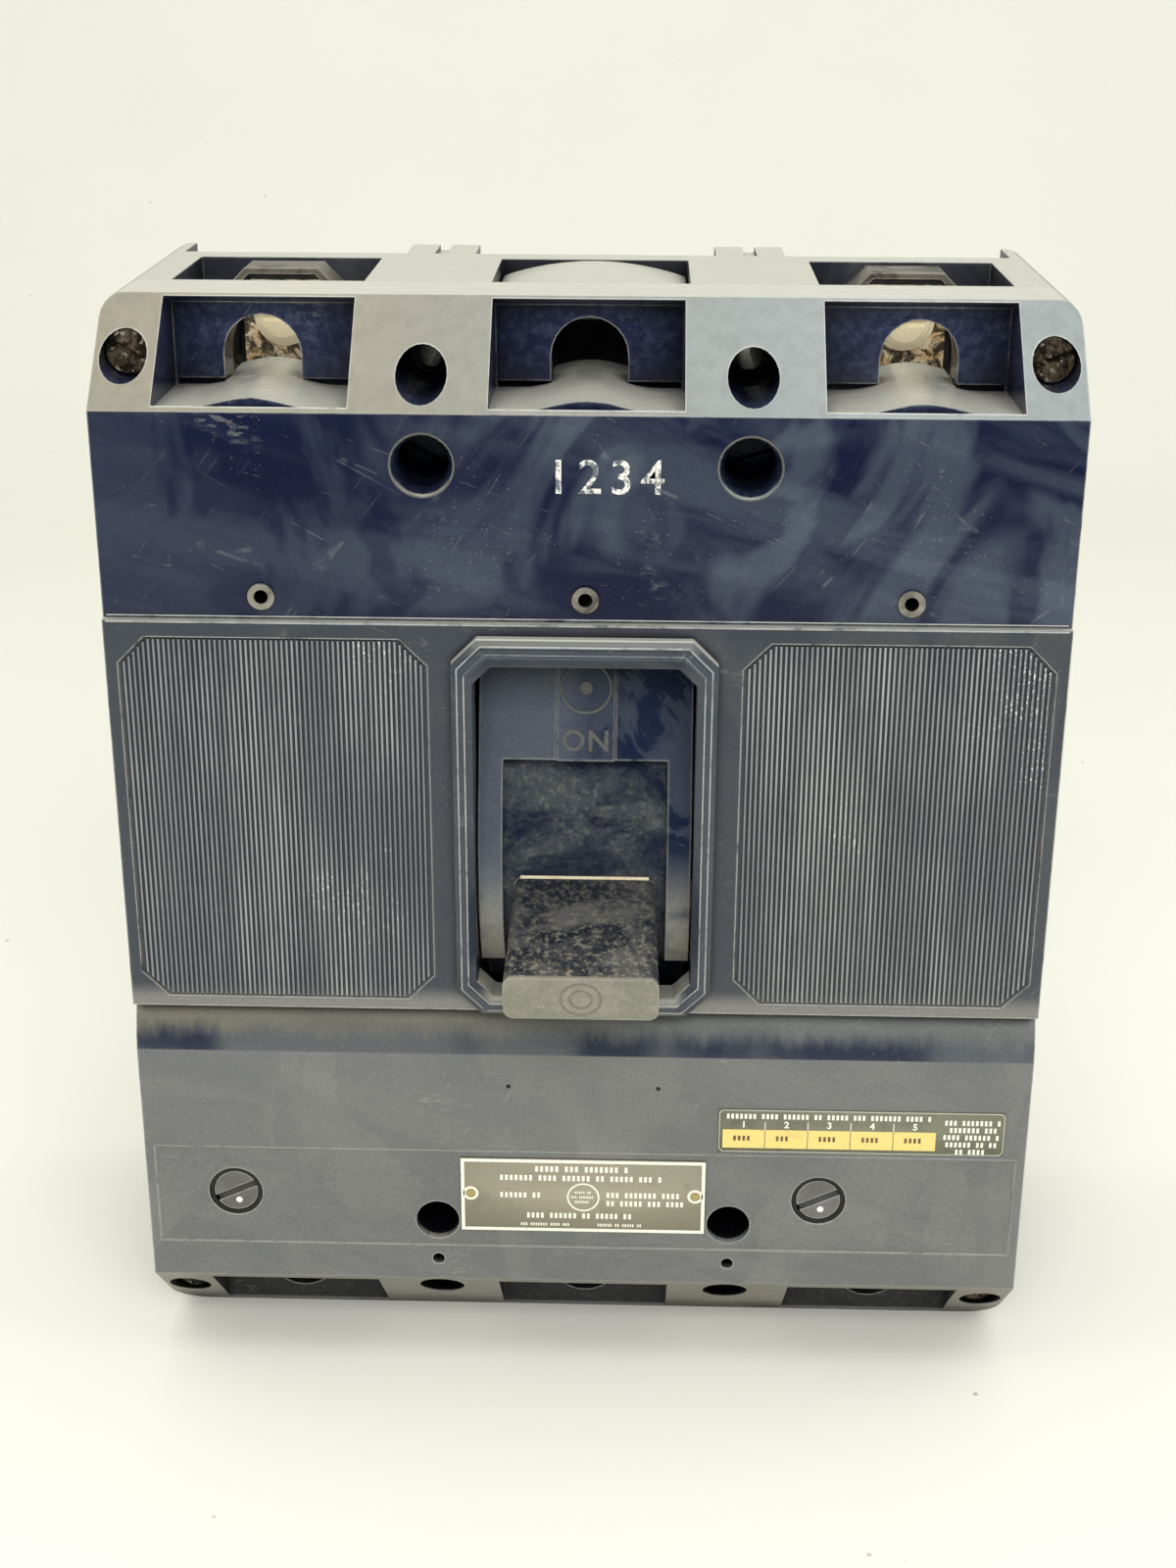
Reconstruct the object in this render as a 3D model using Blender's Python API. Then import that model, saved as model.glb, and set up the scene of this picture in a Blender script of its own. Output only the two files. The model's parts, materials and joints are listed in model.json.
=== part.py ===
"""Molded case breaker, two poles in a three-pole frame, standing on its load end.

Sizes below are millimetres and MM turns them into metres. Shapes are laid out from
the front plane of the case: X runs to the right, Y runs back into the case from its
raised middle panel, and Z runs up from the load end to the line end. The empty named
case_datum shifts everything so that the origin is under the middle of the whole box.
"""
from math import asin, atan2, cos, degrees, hypot, pi, radians, sin, sqrt

import bmesh
import bpy
from mathutils import Matrix

MM = 0.001

# Case
WIDTH = 209.55
HEIGHT = 257.2
HALF = WIDTH / 2
FRONT_TOP = 1.5
MIDDLE_TOP = 190.8
COVER_SPLIT = 97.2
COVE_FOOT = 85.5
SHOULDER = (2.6, 2.0)
TOP_CHAMFER_FOOT = 235.9
BOTTOM_CHAMFER = 23.46
COVER_BACK = 40.5
BASE_FRONT = 40.8
BASE_FLOOR = 76.0
BASE_BACK = 84.0
FOOT_BACK = 99.2
GAP = 0.3
OUT = 12.0

# Poles and terminals
POLE = 72.0
RECESS_CENTRE = 70.85
RECESS_HALF = 20.65
CAVITY = (50.5, 93.4)
CENTRE_CAVITY = 22.0
ARCH_RADIUS = 8.5
TERMINAL_Z = 243.0
SCREW_RISE = 3.0
# Radius and depth along the flared hole over a cover screw
SCREW_WELL = [(6.9, -1.0), (6.7, 1.5), (5.5, 4.5), (5.5, 18.3)]
TOP_RECESS = (233.5, 254.2)
TOP_LIP = (22.2, 256.6)
TOP_WALL = 30.0
BOTTOM_WALL = 22.0
BARRIER = 35.0
MOUNT_Z = 242.8
MOUNT_SEAT = 36.0
HUMP_CREST = 238.5
HUMP_FOOT = 236.0
HUMP_HALF = 15.0
WALL_SLOT = 1.5

# Operating mechanism, all in the Y-Z plane
PIVOT = (50.0, 131.0)
HANDLE_ANGLE = 13.7
HANDLE_REACH = 76.49
SHIELD_RADIUS = 46.0
CROSSBAR = (64.0, 124.0)
OPEN_ANGLE = 30.0
CRADLE_PIVOT = (60.0, 160.0)
LINK_PIVOT = (28.0, 140.0)
LINK_LENGTH = 16.3
LEVER_PIN = (-4.0, 20.0)
TRIP_BAR = (36.0, 92.0)
ARMATURE_PIVOT = (47.0, 64.0)

# The furthest points forward and back set where the origin lies.
TIP_HALF = 5.75
TIP_FRONT = (PIVOT[0] - HANDLE_REACH * cos(radians(HANDLE_ANGLE))
             - TIP_HALF * sin(radians(HANDLE_ANGLE)))
DATUM_SHIFT = -(TIP_FRONT + FOOT_BACK) / 2

# name: base colour, roughness, metallic
LOOKS = {
    "phenolic_base": ((0.035, 0.036, 0.045), 0.5, 0.0),
    "phenolic_cover": ((0.045, 0.047, 0.06), 0.42, 0.0),
    "phenolic_lower": ((0.07, 0.072, 0.075), 0.5, 0.0),
    "bezel_molding": ((0.06, 0.062, 0.065), 0.42, 0.0),
    "handle_molding": ((0.06, 0.06, 0.062), 0.48, 0.0),
    "insulation": ((0.25, 0.1, 0.06), 0.75, 0.0),
    "filler_molding": ((0.3, 0.3, 0.29), 0.55, 0.0),
    "plated_steel": ((0.5, 0.49, 0.45), 0.38, 1.0),
    "spring_steel": ((0.35, 0.34, 0.33), 0.35, 1.0),
    "copper": ((0.55, 0.32, 0.19), 0.5, 1.0),
    "brass": ((0.66, 0.5, 0.22), 0.35, 1.0),
    "aluminium_collar": ((0.62, 0.6, 0.56), 0.42, 1.0),
    "knob_plastic": ((0.09, 0.09, 0.1), 0.45, 0.0),
    "nameplate_metal": ((0.2, 0.17, 0.1), 0.45, 0.4),
    "label_film": ((0.55, 0.42, 0.2), 0.5, 0.0),
}


# ---------------------------------------------------------------- small tools
def material(look):
    """The look's Principled material, made once."""
    found = bpy.data.materials.get(look)
    if found:
        return found
    colour, roughness, metallic = LOOKS[look]
    made = bpy.data.materials.new(look)
    made.use_nodes = True
    shader = made.node_tree.nodes["Principled BSDF"]
    shader.inputs["Base Color"].default_value = (*colour, 1.0)
    shader.inputs["Roughness"].default_value = roughness
    shader.inputs["Metallic"].default_value = metallic
    return made


def new_object(name, shape, look=None, at=(0.0, 0.0), x=0.0, tilt=0.0):
    """An object from a bmesh in millimetres whose own origin is the axis point at, x."""
    shape.transform(Matrix.Diagonal((MM, MM, MM, 1.0)))
    bmesh.ops.recalc_face_normals(shape, faces=shape.faces)
    mesh = bpy.data.meshes.new(name)
    shape.to_mesh(mesh)
    shape.free()
    made = bpy.data.objects.new(name, mesh)
    bpy.context.scene.collection.objects.link(made)
    made.location = (x * MM, at[0] * MM, at[1] * MM)
    made.rotation_euler.x = radians(tilt)
    made.parent = bpy.data.objects["case_datum"]
    if look:
        mesh.materials.append(material(look))
    else:
        made.hide_render = True
        made.display_type = "WIRE"
    return made


def shade_round(target):
    target.data.shade_smooth()
    target.data.set_sharp_from_angle(angle=radians(35))
    return target


def prism(outline, axis, low, high):
    """A bmesh of an outline extruded along an axis.

    The outline's points are (y, z) for axis X, (x, z) for axis Y and (x, y) for axis Z.
    """
    shape = bmesh.new()
    place = {"X": lambda u, v, w: (w, u, v),
             "Y": lambda u, v, w: (u, w, v),
             "Z": lambda u, v, w: (u, v, w)}[axis]
    ends = [[shape.verts.new(place(u, v, w)) for u, v in outline] for w in (low, high)]
    shape.faces.new(ends[0])
    shape.faces.new(reversed(ends[1]))
    for i in range(len(outline)):
        j = (i + 1) % len(outline)
        shape.faces.new((ends[0][i], ends[1][i], ends[1][j], ends[0][j]))
    return shape


def block(x, y, z):
    return prism([(x[0], y[0]), (x[1], y[0]), (x[1], y[1]), (x[0], y[1])], "Z", *z)


def arc(centre, radius, start, end, steps):
    """Points on an arc, angles in degrees anticlockwise from the first coordinate."""
    turns = [radians(start + (end - start) * i / steps) for i in range(steps + 1)]
    return [(centre[0] + radius * cos(t), centre[1] + radius * sin(t)) for t in turns]


def circle(centre, radius, sides=24):
    return arc(centre, radius, 0, 360, sides)[:-1]


def rod(centre, radius, axis, low, high, sides=24):
    return prism(circle(centre, radius, sides), axis, low, high)


def turned(centre, stations, sides=24):
    """A solid turned about Y through (radius, y) stations."""
    shape = bmesh.new()
    rings = [[shape.verts.new((u, y, v)) for u, v in circle(centre, radius, sides)]
             for radius, y in stations]
    shape.faces.new(rings[0])
    shape.faces.new(reversed(rings[-1]))
    for near, far in zip(rings, rings[1:]):
        for i in range(sides):
            j = (i + 1) % sides
            shape.faces.new((near[i], near[j], far[j], far[i]))
    return shape


def octagon(half_x, half_z, corner, centre=(0.0, 0.0)):
    """An upright rectangle with its corners cut at 45 degrees."""
    near = [(half_x, half_z - corner), (half_x - corner, half_z)]
    signs = [((1, 1), 1), ((-1, 1), -1), ((-1, -1), 1), ((1, -1), -1)]
    points = []
    for (sx, sz), order in signs:
        points += [(centre[0] + sx * u, centre[1] + sz * v) for u, v in near[::order]]
    return points


def rounded_box_outline(half, low, high, low_radius, high_radius, steps=5):
    """The case's front outline, in x and z."""
    points = []
    corners = [(half, high, high_radius, 0), (-half, high, high_radius, 90),
               (-half, low, low_radius, 180), (half, low, low_radius, 270)]
    for u, v, radius, start in corners:
        centre = (u - radius * (1 if u > 0 else -1), v - radius * (1 if v == high else -1))
        if radius:
            points += arc(centre, radius, start, start + 90, steps)
        else:
            points.append((u, v))
    return points


def boolean(target, operation, shapes):
    """Cuts the shapes from the target or joins them to it, one helper for each shape."""
    for i, shape in enumerate(shapes):
        helper = new_object(f"{target.name}_{operation.lower()}_{len(target.modifiers)}",
                            shape)
        helper.location = target.location
        helper.rotation_euler = target.rotation_euler
        step = target.modifiers.new(f"{operation} {i}", "BOOLEAN")
        step.operation = operation
        step.solver = "EXACT"
        step.object = helper
    return target


def cut(target, shapes):
    return boolean(target, "DIFFERENCE", shapes)


def weld(target, shapes):
    return boolean(target, "UNION", shapes)


def both_sides(make):
    return [make(-1), make(1)]


def span(side, inner, outer):
    """An x range from inner to outer on the left (-1) or the right (1)."""
    return tuple(sorted((side * inner, side * outer)))


def about(point, angle):
    """A (y, z) offset turned by an angle in degrees from +Y towards +Z."""
    c, s = cos(radians(angle)), sin(radians(angle))
    return (point[0] * c - point[1] * s, point[0] * s + point[1] * c)


def side_name(side):
    return "left" if side < 0 else "right"


# ---------------------------------------------------------------- molded case
def case_outline(low, high):
    low_radius = 8.0 if low == 0 else 0.0
    high_radius = 4.5 if high == HEIGHT else 0.0
    return rounded_box_outline(HALF, low, high, low_radius, high_radius)


def mount_seats():
    """The bosses inside the cover's holes that the mounting bolts' heads bear on."""
    seats = []
    for z in (MOUNT_Z, HEIGHT - MOUNT_Z + 2.4):
        seats += both_sides(lambda s: rod((s * BARRIER, z), 5.2, "Y", MOUNT_SEAT,
                                          BASE_FRONT + 2))
    return seats


def make_base():
    """The molded base: three pole channels, thick end barriers and mounting ribs."""
    base = new_object("base", prism(case_outline(0, HEIGHT), "Y", BASE_FRONT, FOOT_BACK),
                      "phenolic_base")
    end_low, end_high = 54.0, 203.0
    past = (-OUT, HEIGHT + OUT)
    depth = (BASE_FRONT - OUT, BASE_FLOOR)
    behind = (BASE_BACK, FOOT_BACK + OUT)
    cutters = [block((-28.8, 28.8), behind, past)]
    cutters += both_sides(lambda s: block(span(s, 45.4, 99.0), behind, past))
    cutters.append(block((-CENTRE_CAVITY, CENTRE_CAVITY), depth, past))
    cutters += both_sides(lambda s: block(span(s, *CAVITY), depth, past))
    cutters.append(block((-32.9, 32.9), depth, (end_low, end_high)))
    cutters += both_sides(lambda s: block(span(s, 37.9, 98.0), depth, (end_low, end_high)))
    cutters += both_sides(lambda s: block(span(s, 31.0, 40.0), (BASE_FRONT - OUT, 73.5),
                                          (112.0, 136.0)))
    cutters += both_sides(lambda s: block(span(s, 35.7, 38.6), behind,
                                          (HEIGHT - 1.3, HEIGHT + OUT)))
    for z in (MOUNT_Z, HEIGHT - MOUNT_Z + 2.4):
        cutters += both_sides(lambda s: rod((s * BARRIER, z), 3.6, "Y", 30, 110, 16))
    for z, x in ((225.0, 34.7), (39.9, 35.0)):
        cutters += both_sides(lambda s: rod((s * x, z), 2.6, "Y", 30, 64, 12))
    for z, x in ((245.6, 98.5), (13.3, 98.7)):
        cutters += both_sides(lambda s: rod((s * x, z), 2.3, "Y", 30, 64, 12))
    return cut(weld(base, mount_seats()), cutters)


def arch(centre_x, spring_z, towards, wall):
    """A round-topped screwdriver tunnel through the wall of a terminal recess."""
    start = 0 if towards > 0 else 180
    outline = arc((centre_x, spring_z), ARCH_RADIUS, start, start + 180, 12)
    foot = spring_z - towards * 9.5
    ends = [(outline[-1][0], foot), (outline[0][0], foot)]
    return prism(outline + ends, "Y", wall - 1, COVER_BACK + OUT)


def pole_spans():
    """The three terminal recesses as x ranges."""
    return [(-RECESS_CENTRE - RECESS_HALF, -RECESS_CENTRE + RECESS_HALF),
            (-RECESS_HALF, RECESS_HALF),
            (RECESS_CENTRE - RECESS_HALF, RECESS_CENTRE + RECESS_HALF)]


def line_recess(low, high):
    """One terminal recess, open to the chamfer, with a roof that falls to its wall."""
    floor, roof = TOP_RECESS
    fall = (TOP_LIP[1] - roof) / (TOP_WALL - TOP_LIP[0])
    front = 2.5
    outline = [(front, floor), (TOP_WALL, floor), (TOP_WALL, roof),
               (front, roof + fall * (TOP_WALL - front))]
    return prism(outline, "X", low, high)


def bell(half, steps):
    """Half widths and heights of a hump that swells out of a flat floor."""
    rise = HUMP_CREST - HUMP_FOOT
    points = [half * (1 - 2 * i / steps) for i in range(steps + 1)]
    return [(u, HUMP_FOOT + rise * (0.5 + 0.5 * cos(pi * u / HUMP_HALF))) for u in points]


def hump(centre_x, half, steps, front, back):
    """A domed tongue along a line recess's floor, half wide to each side of its crest."""
    foot = TOP_RECESS[0] - 2.5
    crown = [(centre_x + u, v) for u, v in bell(min(half, HUMP_HALF), steps)]
    flanks = [(centre_x - half, HUMP_FOOT), (centre_x - half, foot),
              (centre_x + half, foot), (centre_x + half, HUMP_FOOT)]
    outline = crown + (flanks if half > HUMP_HALF else flanks[1:3])
    return prism(outline, "Y", front, back)


def make_front_cover():
    """The upper cover over the arc chutes and the mechanism."""
    cover = new_object("front_cover",
                       prism(case_outline(COVER_SPLIT, HEIGHT), "Y", 0.0, COVER_BACK),
                       "phenolic_cover")
    foot = TOP_CHAMFER_FOOT
    wide = (-HALF - OUT, HALF + OUT)
    wedge = [(FRONT_TOP - 8, foot - 8), (FRONT_TOP + 30, foot + 30), (-OUT, foot + 30),
             (-OUT, foot - 8)]
    back = COVER_BACK + OUT
    cutters = [block(wide, (-OUT, FRONT_TOP), (MIDDLE_TOP, HEIGHT + OUT)),
               prism(wedge, "X", *wide),
               block((-32.9, 32.9), (5.5, back), (COVER_SPLIT - OUT, 213.0))]
    cutters += both_sides(lambda s: block(span(s, 37.9, 100.0), (5.5, back),
                                          (COVER_SPLIT - OUT, 213.0)))
    cutters += both_sides(lambda s: block(span(s, 43.0, 100.0), (5.5, back), (205.0, 229.0)))
    for low, high in pole_spans():
        cutters.append(line_recess(low, high))
        cutters.append(block((low + 0.4, high - 0.4), (TOP_WALL - 1, TOP_WALL + 4),
                             (HUMP_FOOT - 0.5, HUMP_FOOT + WALL_SLOT)))
    for x in (-POLE, 0.0, POLE):
        cutters.append(arch(x, TERMINAL_Z, 1, TOP_WALL))
    for s in (-1, 1):
        cutters.append(rod((s * BARRIER, MOUNT_Z), 5.5, "Y", -2, back))
        cutters.append(turned((s * 34.7, 225.0), SCREW_WELL))
        cutters.append(rod((s * 34.7, 225.0), 2.8, "Y", -2, back, 12))
        cutters.append(rod((s * 98.5, 245.6), 5.1, "Y", -2, 20.3))
        cutters.append(rod((s * 98.5, 245.6), 2.4, "Y", -2, back, 12))
        cutters.append(prism(octagon(33.8, 43.5, 6.0, (s * 68.2, 143.4)), "Y", -2, 0.6))
    for x in (-70.0, 0.0, 70.0):
        cutters.append(rod((x, 196.0), 2.6, "Y", -2, 8, 16))
    cutters.append(prism(octagon(26.2, 41.95, 4.3, (0.0, 142.2)), "Y", -2, 8))
    cut(cover, cutters)
    middles = [(low + high) / 2 for low, high in pole_spans()]
    humps = [hump(x, RECESS_HALF + 0.3, 16, 4.0, TOP_WALL + 0.5) for x in middles]
    humps += [hump(x, ARCH_RADIUS - 0.1, 10, TOP_WALL - 1, 50.0)
              for x in (-POLE, 0.0, POLE)]
    return weld(cover, humps)


def make_trip_cover():
    """The lower cover over the trip unit, with a rounded shoulder under the upper one."""
    top = COVER_SPLIT - GAP
    cover = new_object("trip_cover", prism(case_outline(0, top), "Y", 0.0, COVER_BACK),
                       "phenolic_lower")
    wide = (-HALF - OUT, HALF + OUT)
    cut_z = BOTTOM_CHAMFER
    wedge = [(-8, cut_z + 8), (cut_z + 8, -8), (-OUT, -8), (-OUT, cut_z + 8)]
    rise = top + 1 - COVE_FOOT
    shares = [i / 9 for i in range(10)]
    cove = [(SHOULDER[0] * t + SHOULDER[1] * t ** 3, COVE_FOOT + rise * t) for t in shares]
    cove += [(-OUT, top + 1), (-OUT, COVE_FOOT - 0.5),
             (-0.5 * SHOULDER[0] / rise, COVE_FOOT - 0.5)]
    back = COVER_BACK + OUT
    open_top = top + OUT
    cutters = [prism(wedge, "X", *wide), prism(cove, "X", *wide),
               block((-102.4, 102.4), (-2, 0.3), (33.0, 59.3)),
               block((-32.9, 32.9), (7.0, back), (52.0, open_top)),
               block((-25.0, 25.0), (5.0, back), (30.0, 53.0)),
               block((-41.0, 41.0), (25.0, back), (84.0, open_top))]
    cutters += both_sides(lambda s: block(span(s, 37.9, 100.0), (7.0, back),
                                          (52.0, open_top)))
    cutters += both_sides(lambda s: block(span(s, 45.0, 100.0), (5.0, back), (30.0, 53.0)))
    for low, high in pole_spans():
        cutters.append(block((low, high), (2.5, BOTTOM_WALL), (1.5, cut_z + 1)))
    for x in (-POLE, 0.0, POLE):
        cutters.append(arch(x, HEIGHT - TERMINAL_Z, -1, BOTTOM_WALL))
    for s in (-1, 1):
        cutters.append(rod((s * BARRIER, 16.8), 5.5, "Y", -2, back))
        cutters.append(rod((s * 35.0, 39.9), 5.2, "Y", -2, 18.3))
        cutters.append(rod((s * 35.0, 39.9), 2.8, "Y", -2, back, 12))
        cutters.append(rod((s * 35.0, 29.1), 1.5, "Y", -2, 6, 12))
        cutters.append(rod((s * 98.7, 13.3), 5.1, "Y", -2, 20.3))
        cutters.append(rod((s * 98.7, 13.3), 2.4, "Y", -2, back, 12))
    for x, z in KNOBS.values():
        cutters.append(rod((x, z), 6.5, "Y", -2, 8))
    return cut(cover, cutters)


def make_bezel():
    """The raised octagonal frame round the handle, with a neck into the cover."""
    outer = octagon(29.1, 45.25, 5.7, (0.0, 142.95))
    inner = octagon(24.4, 39.9, 4.0, (0.0, 141.8))
    profile = [(0.0, -GAP), (0.0, -2.7), (0.3, -4.0), (0.62, -4.0), (1.0, -2.3),
               (1.0, 5.2), (0.68, 5.2), (0.68, -GAP)]
    shape = bmesh.new()
    rings = []
    for blend, y in profile:
        rings.append([shape.verts.new((a[0] + (b[0] - a[0]) * blend, y,
                                       a[1] + (b[1] - a[1]) * blend))
                      for a, b in zip(outer, inner)])
    for i, ring in enumerate(rings):
        following = rings[(i + 1) % len(rings)]
        for j in range(len(ring)):
            k = (j + 1) % len(ring)
            shape.faces.new((ring[j], ring[k], following[k], following[j]))
    return new_object("handle_bezel", shape, "bezel_molding")


def make_slot_plate():
    """The curved plate inside the bezel: an upside-down U round the handle's travel."""
    radius, thick, lean = SHIELD_RADIUS + 2.4, 2.0, 20.0
    low_turn = 180 + degrees(asin((PIVOT[1] - 106.4) / radius))
    front = arc(PIVOT, radius, low_turn, 180 - lean, 12)
    rear = arc(PIVOT, radius - thick, low_turn, 180 - lean, 12)
    rise = 186.0 - front[-1][1]
    run = rise * sin(radians(lean)) / cos(radians(lean))
    tops = [(front[-1][0] + run, 186.0), (rear[-1][0] + run + 0.1, 186.0)]
    plate = new_object("slot_plate", prism(front + tops + rear[::-1], "X", -24.1, 24.1),
                       "bezel_molding")
    window_top = 156.4
    cut(plate, [block((-18.5, 18.5), (-OUT, 60), (90.0, window_top))])
    slant = run / rise
    tab = [(y + slant * (z - front[-1][1]), z) for y, z in
           ((front[-1][0] - 0.6, window_top), (front[-1][0] - 0.6, 186.0),
            (front[-1][0] + 1, 186.0), (front[-1][0] + 1, window_top))]
    return weld(plate, [prism(tab, "X", -6.6, 6.6)])


# ---------------------------------------------------------------- handle group
def make_handle():
    """Grip and curved dust shield in one molding, drawn pointing forward."""
    reach = 43.0
    root_half = 9.2
    corner_radius = 2.3
    slope = (TIP_HALF - root_half) / (HANDLE_REACH - SHIELD_RADIUS)
    start_half = root_half + slope * (reach - SHIELD_RADIUS)
    shape = bmesh.new()
    rings = []
    for y, wide, half in ((-reach, 15.8, start_half), (-HANDLE_REACH, 17.1, TIP_HALF)):
        ring = []
        for sx, sz, turn in ((1, 1, 0), (-1, 1, 90), (-1, -1, 180), (1, -1, 270)):
            corner = (sx * (wide - corner_radius), sz * (half - corner_radius))
            ring += arc(corner, corner_radius, turn, turn + 90, 4)
        rings.append([shape.verts.new((u, y, v)) for u, v in ring])
    shape.faces.new(rings[0])
    shape.faces.new(reversed(rings[1]))
    for j in range(len(rings[0])):
        k = (j + 1) % len(rings[0])
        shape.faces.new((rings[0][j], rings[0][k], rings[1][k], rings[1][j]))
    handle = new_object("operating_handle", shape, "handle_molding", PIVOT,
                        tilt=HANDLE_ANGLE)
    shell = arc((0, 0), SHIELD_RADIUS, 127, 229.5, 28)
    shell += arc((0, 0), SHIELD_RADIUS - 1.8, 229.5, 127, 28)
    return weld(handle, [prism(shell, "X", -22.8, 22.8)])


def make_yoke():
    """The steel yoke that carries the handle and swings on the side plates' stubs."""
    inner, outer, front, back = 23.3, 25.1, -42.0, 4.4
    plan = [(-outer, back), (-outer, front), (outer, front), (outer, back), (inner, back),
            (inner, front + 2), (-inner, front + 2), (-inner, back)]
    yoke = new_object("handle_yoke", prism(plan, "Z", -6.0, 6.0), "plated_steel", PIVOT,
                      tilt=HANDLE_ANGLE)
    return cut(yoke, [rod((0, 0), 2.6, "X", -30, 30)])


def make_side_plate(side):
    """One of the two frames that the mechanism hangs in, with its pivot stubs."""
    outline = [(44.0, 94.0), (75.7, 94.0), (75.7, 110.0), (55.0, 110.0), (55.0, 138.0),
               (75.7, 138.0), (75.7, 174.0), (54.0, 174.0), (42.0, 150.0), (42.0, 120.0)]
    plate = new_object(f"mechanism_side_plate_{side_name(side)}",
                       prism(outline, "X", *span(side, 27.0, 29.0)), "plated_steel")
    stubs = [rod(PIVOT, 2.5, "X", *span(side, 22.6, 28.0)),
             rod(CRADLE_PIVOT, 2.5, "X", *span(side, 16.2, 28.0))]
    return weld(plate, stubs)


def make_cradle():
    """The latched lever: two arms joined at the latch tip, with the upper link's stubs."""
    tip = (26.0, 111.0)
    shape = [(64.0, 156.0), (63.0, 165.0), (55.0, 164.5), (26.0, 147.0), (21.0, 140.0),
             (tip[0] - 4, 109.0), (tip[0] + 4, 109.0), (33.0, 136.0)]
    local = [(y - CRADLE_PIVOT[0], z - CRADLE_PIVOT[1]) for y, z in shape]
    cradle = new_object("cradle", prism(local, "X", -19.0, 19.0), "plated_steel",
                        CRADLE_PIVOT)
    stub = (LINK_PIVOT[0] - CRADLE_PIVOT[0], LINK_PIVOT[1] - CRADLE_PIVOT[1])
    cut(cradle, [block((-17.0, 17.0), (-60, 30), (-46.0, 20)),
                 rod((0, 0), 2.6, "X", -30, 30)])
    return weld(cradle, both_sides(lambda s: rod(stub, 2.5, "X", *span(s, 12.6, 18.0))))


def toggle(open_contacts):
    """Turns of the two toggle links, in degrees from +Y towards +Z."""
    pin = about(LEVER_PIN, OPEN_ANGLE if open_contacts else 0.0)
    reach = (CROSSBAR[0] + pin[0] - LINK_PIVOT[0], CROSSBAR[1] + pin[1] - LINK_PIVOT[1])
    line = degrees(atan2(reach[1], reach[0]))
    fold = degrees(asin(sqrt(1 - (hypot(*reach) / (2 * LINK_LENGTH)) ** 2)))
    return line + fold, line - fold


def link_outline(half):
    """A stadium from the link's own pivot to its far pin, in y and z."""
    return arc((0, 0), half, 90, 270, 8) + arc((LINK_LENGTH, 0), half, -90, 90, 8)


def make_upper_link():
    """Two plates on the cradle's stubs, joined by the knee pin."""
    upper, _ = toggle(True)
    link = new_object("upper_toggle_link", prism(link_outline(4.0), "X", 13.0, 15.0),
                      "plated_steel", LINK_PIVOT, tilt=upper)
    weld(link, [rod((LINK_LENGTH, 0), 2.0, "X", -14.0, 14.0, 16),
                prism(link_outline(4.0), "X", -15.0, -13.0)])
    return cut(link, [rod((0, 0), 2.6, "X", -30, 30)])


def make_lower_link():
    """Two plates from the knee pin to the crossbar's lever, joined by a spacer."""
    upper, lower = toggle(True)
    knee = about((LINK_LENGTH, 0), upper)
    at = (LINK_PIVOT[0] + knee[0], LINK_PIVOT[1] + knee[1])
    link = new_object("lower_toggle_link", prism(link_outline(3.6), "X", 9.6, 11.4),
                      "plated_steel", at, tilt=lower)
    weld(link, [rod((LINK_LENGTH * 0.42, 0), 1.3, "X", -10.5, 10.5, 12),
                prism(link_outline(3.6), "X", -11.4, -9.6)])
    return cut(link, [rod((0, 0), 2.1, "X", -30, 30, 16),
                      rod((LINK_LENGTH, 0), 2.1, "X", -30, 30, 16)])


def make_main_spring(side):
    """A closed tube of the spring's outer size, from the yoke's bridge to the knee."""
    upper, _ = toggle(True)
    knee = about((LINK_LENGTH, 0), upper)
    far = (LINK_PIVOT[0] + knee[0], LINK_PIVOT[1] + knee[1])
    hook = about((-39.0, 0), HANDLE_ANGLE)
    near = (PIVOT[0] + hook[0], PIVOT[1] + hook[1])
    length = hypot(far[0] - near[0], far[1] - near[1])
    lean = degrees(atan2(far[1] - near[1], far[0] - near[0]))
    outline = [(side * 4.3 + u, v) for u, v in circle((0, 0), 2.8, 12)]
    shape = prism(outline, "Y", 3.0, length - 3.0)
    return shade_round(new_object(f"main_spring_{side_name(side)}", shape, "spring_steel",
                                  near, tilt=lean))


# ---------------------------------------------------------------- current path
def make_crossbar():
    """The insulating bar that swings both contact arms, with the toggle's lever."""
    bar = new_object("crossbar", rod((0, 0), 7.5, "X", -92.0, 92.0, 20), "handle_molding",
                     CROSSBAR, tilt=OPEN_ANGLE)
    lever = [(-9.0, 0.0), (9.0, 0.0), (LEVER_PIN[0] + 4, LEVER_PIN[1] + 4),
             (LEVER_PIN[0] - 4, LEVER_PIN[1] + 4)]
    weld(bar, both_sides(lambda s: prism(lever, "X", *span(s, 5.2, 8.2))))
    weld(bar, [rod(LEVER_PIN, 2.0, "X", -8.9, 8.9, 16)])
    weld(bar, both_sides(lambda s: block((s * POLE - 9, s * POLE + 9), (-10, 8), (-8, 18))))
    return cut(bar, both_sides(lambda s: block((s * POLE - 4.3, s * POLE + 4.3),
                                               (-5.3, 3.3), (1.7, 30))))


def make_contact_arm(side):
    """The moving contact arm in its pole's socket, its silver pad facing back."""
    arm = new_object(f"contact_arm_{side_name(side)}",
                     block((side * POLE - 4, side * POLE + 4), (-5.0, 3.0), (2.0, 70.0)),
                     "copper", CROSSBAR, tilt=OPEN_ANGLE)
    return weld(arm, [block((side * POLE - 5, side * POLE + 5), (2.0, 5.4), (59.5, 69.5))])


def conductor_outline(mirror, far):
    """A strap along the base with a terminal block at its end, in y and z."""
    points = [(71.7, far), (75.7, far), (75.7, 252.0), (64.5, 252.0), (64.5, 234.0),
              (71.7, 234.0)]
    return [(y, HEIGHT - z) for y, z in points] if mirror else points


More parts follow.
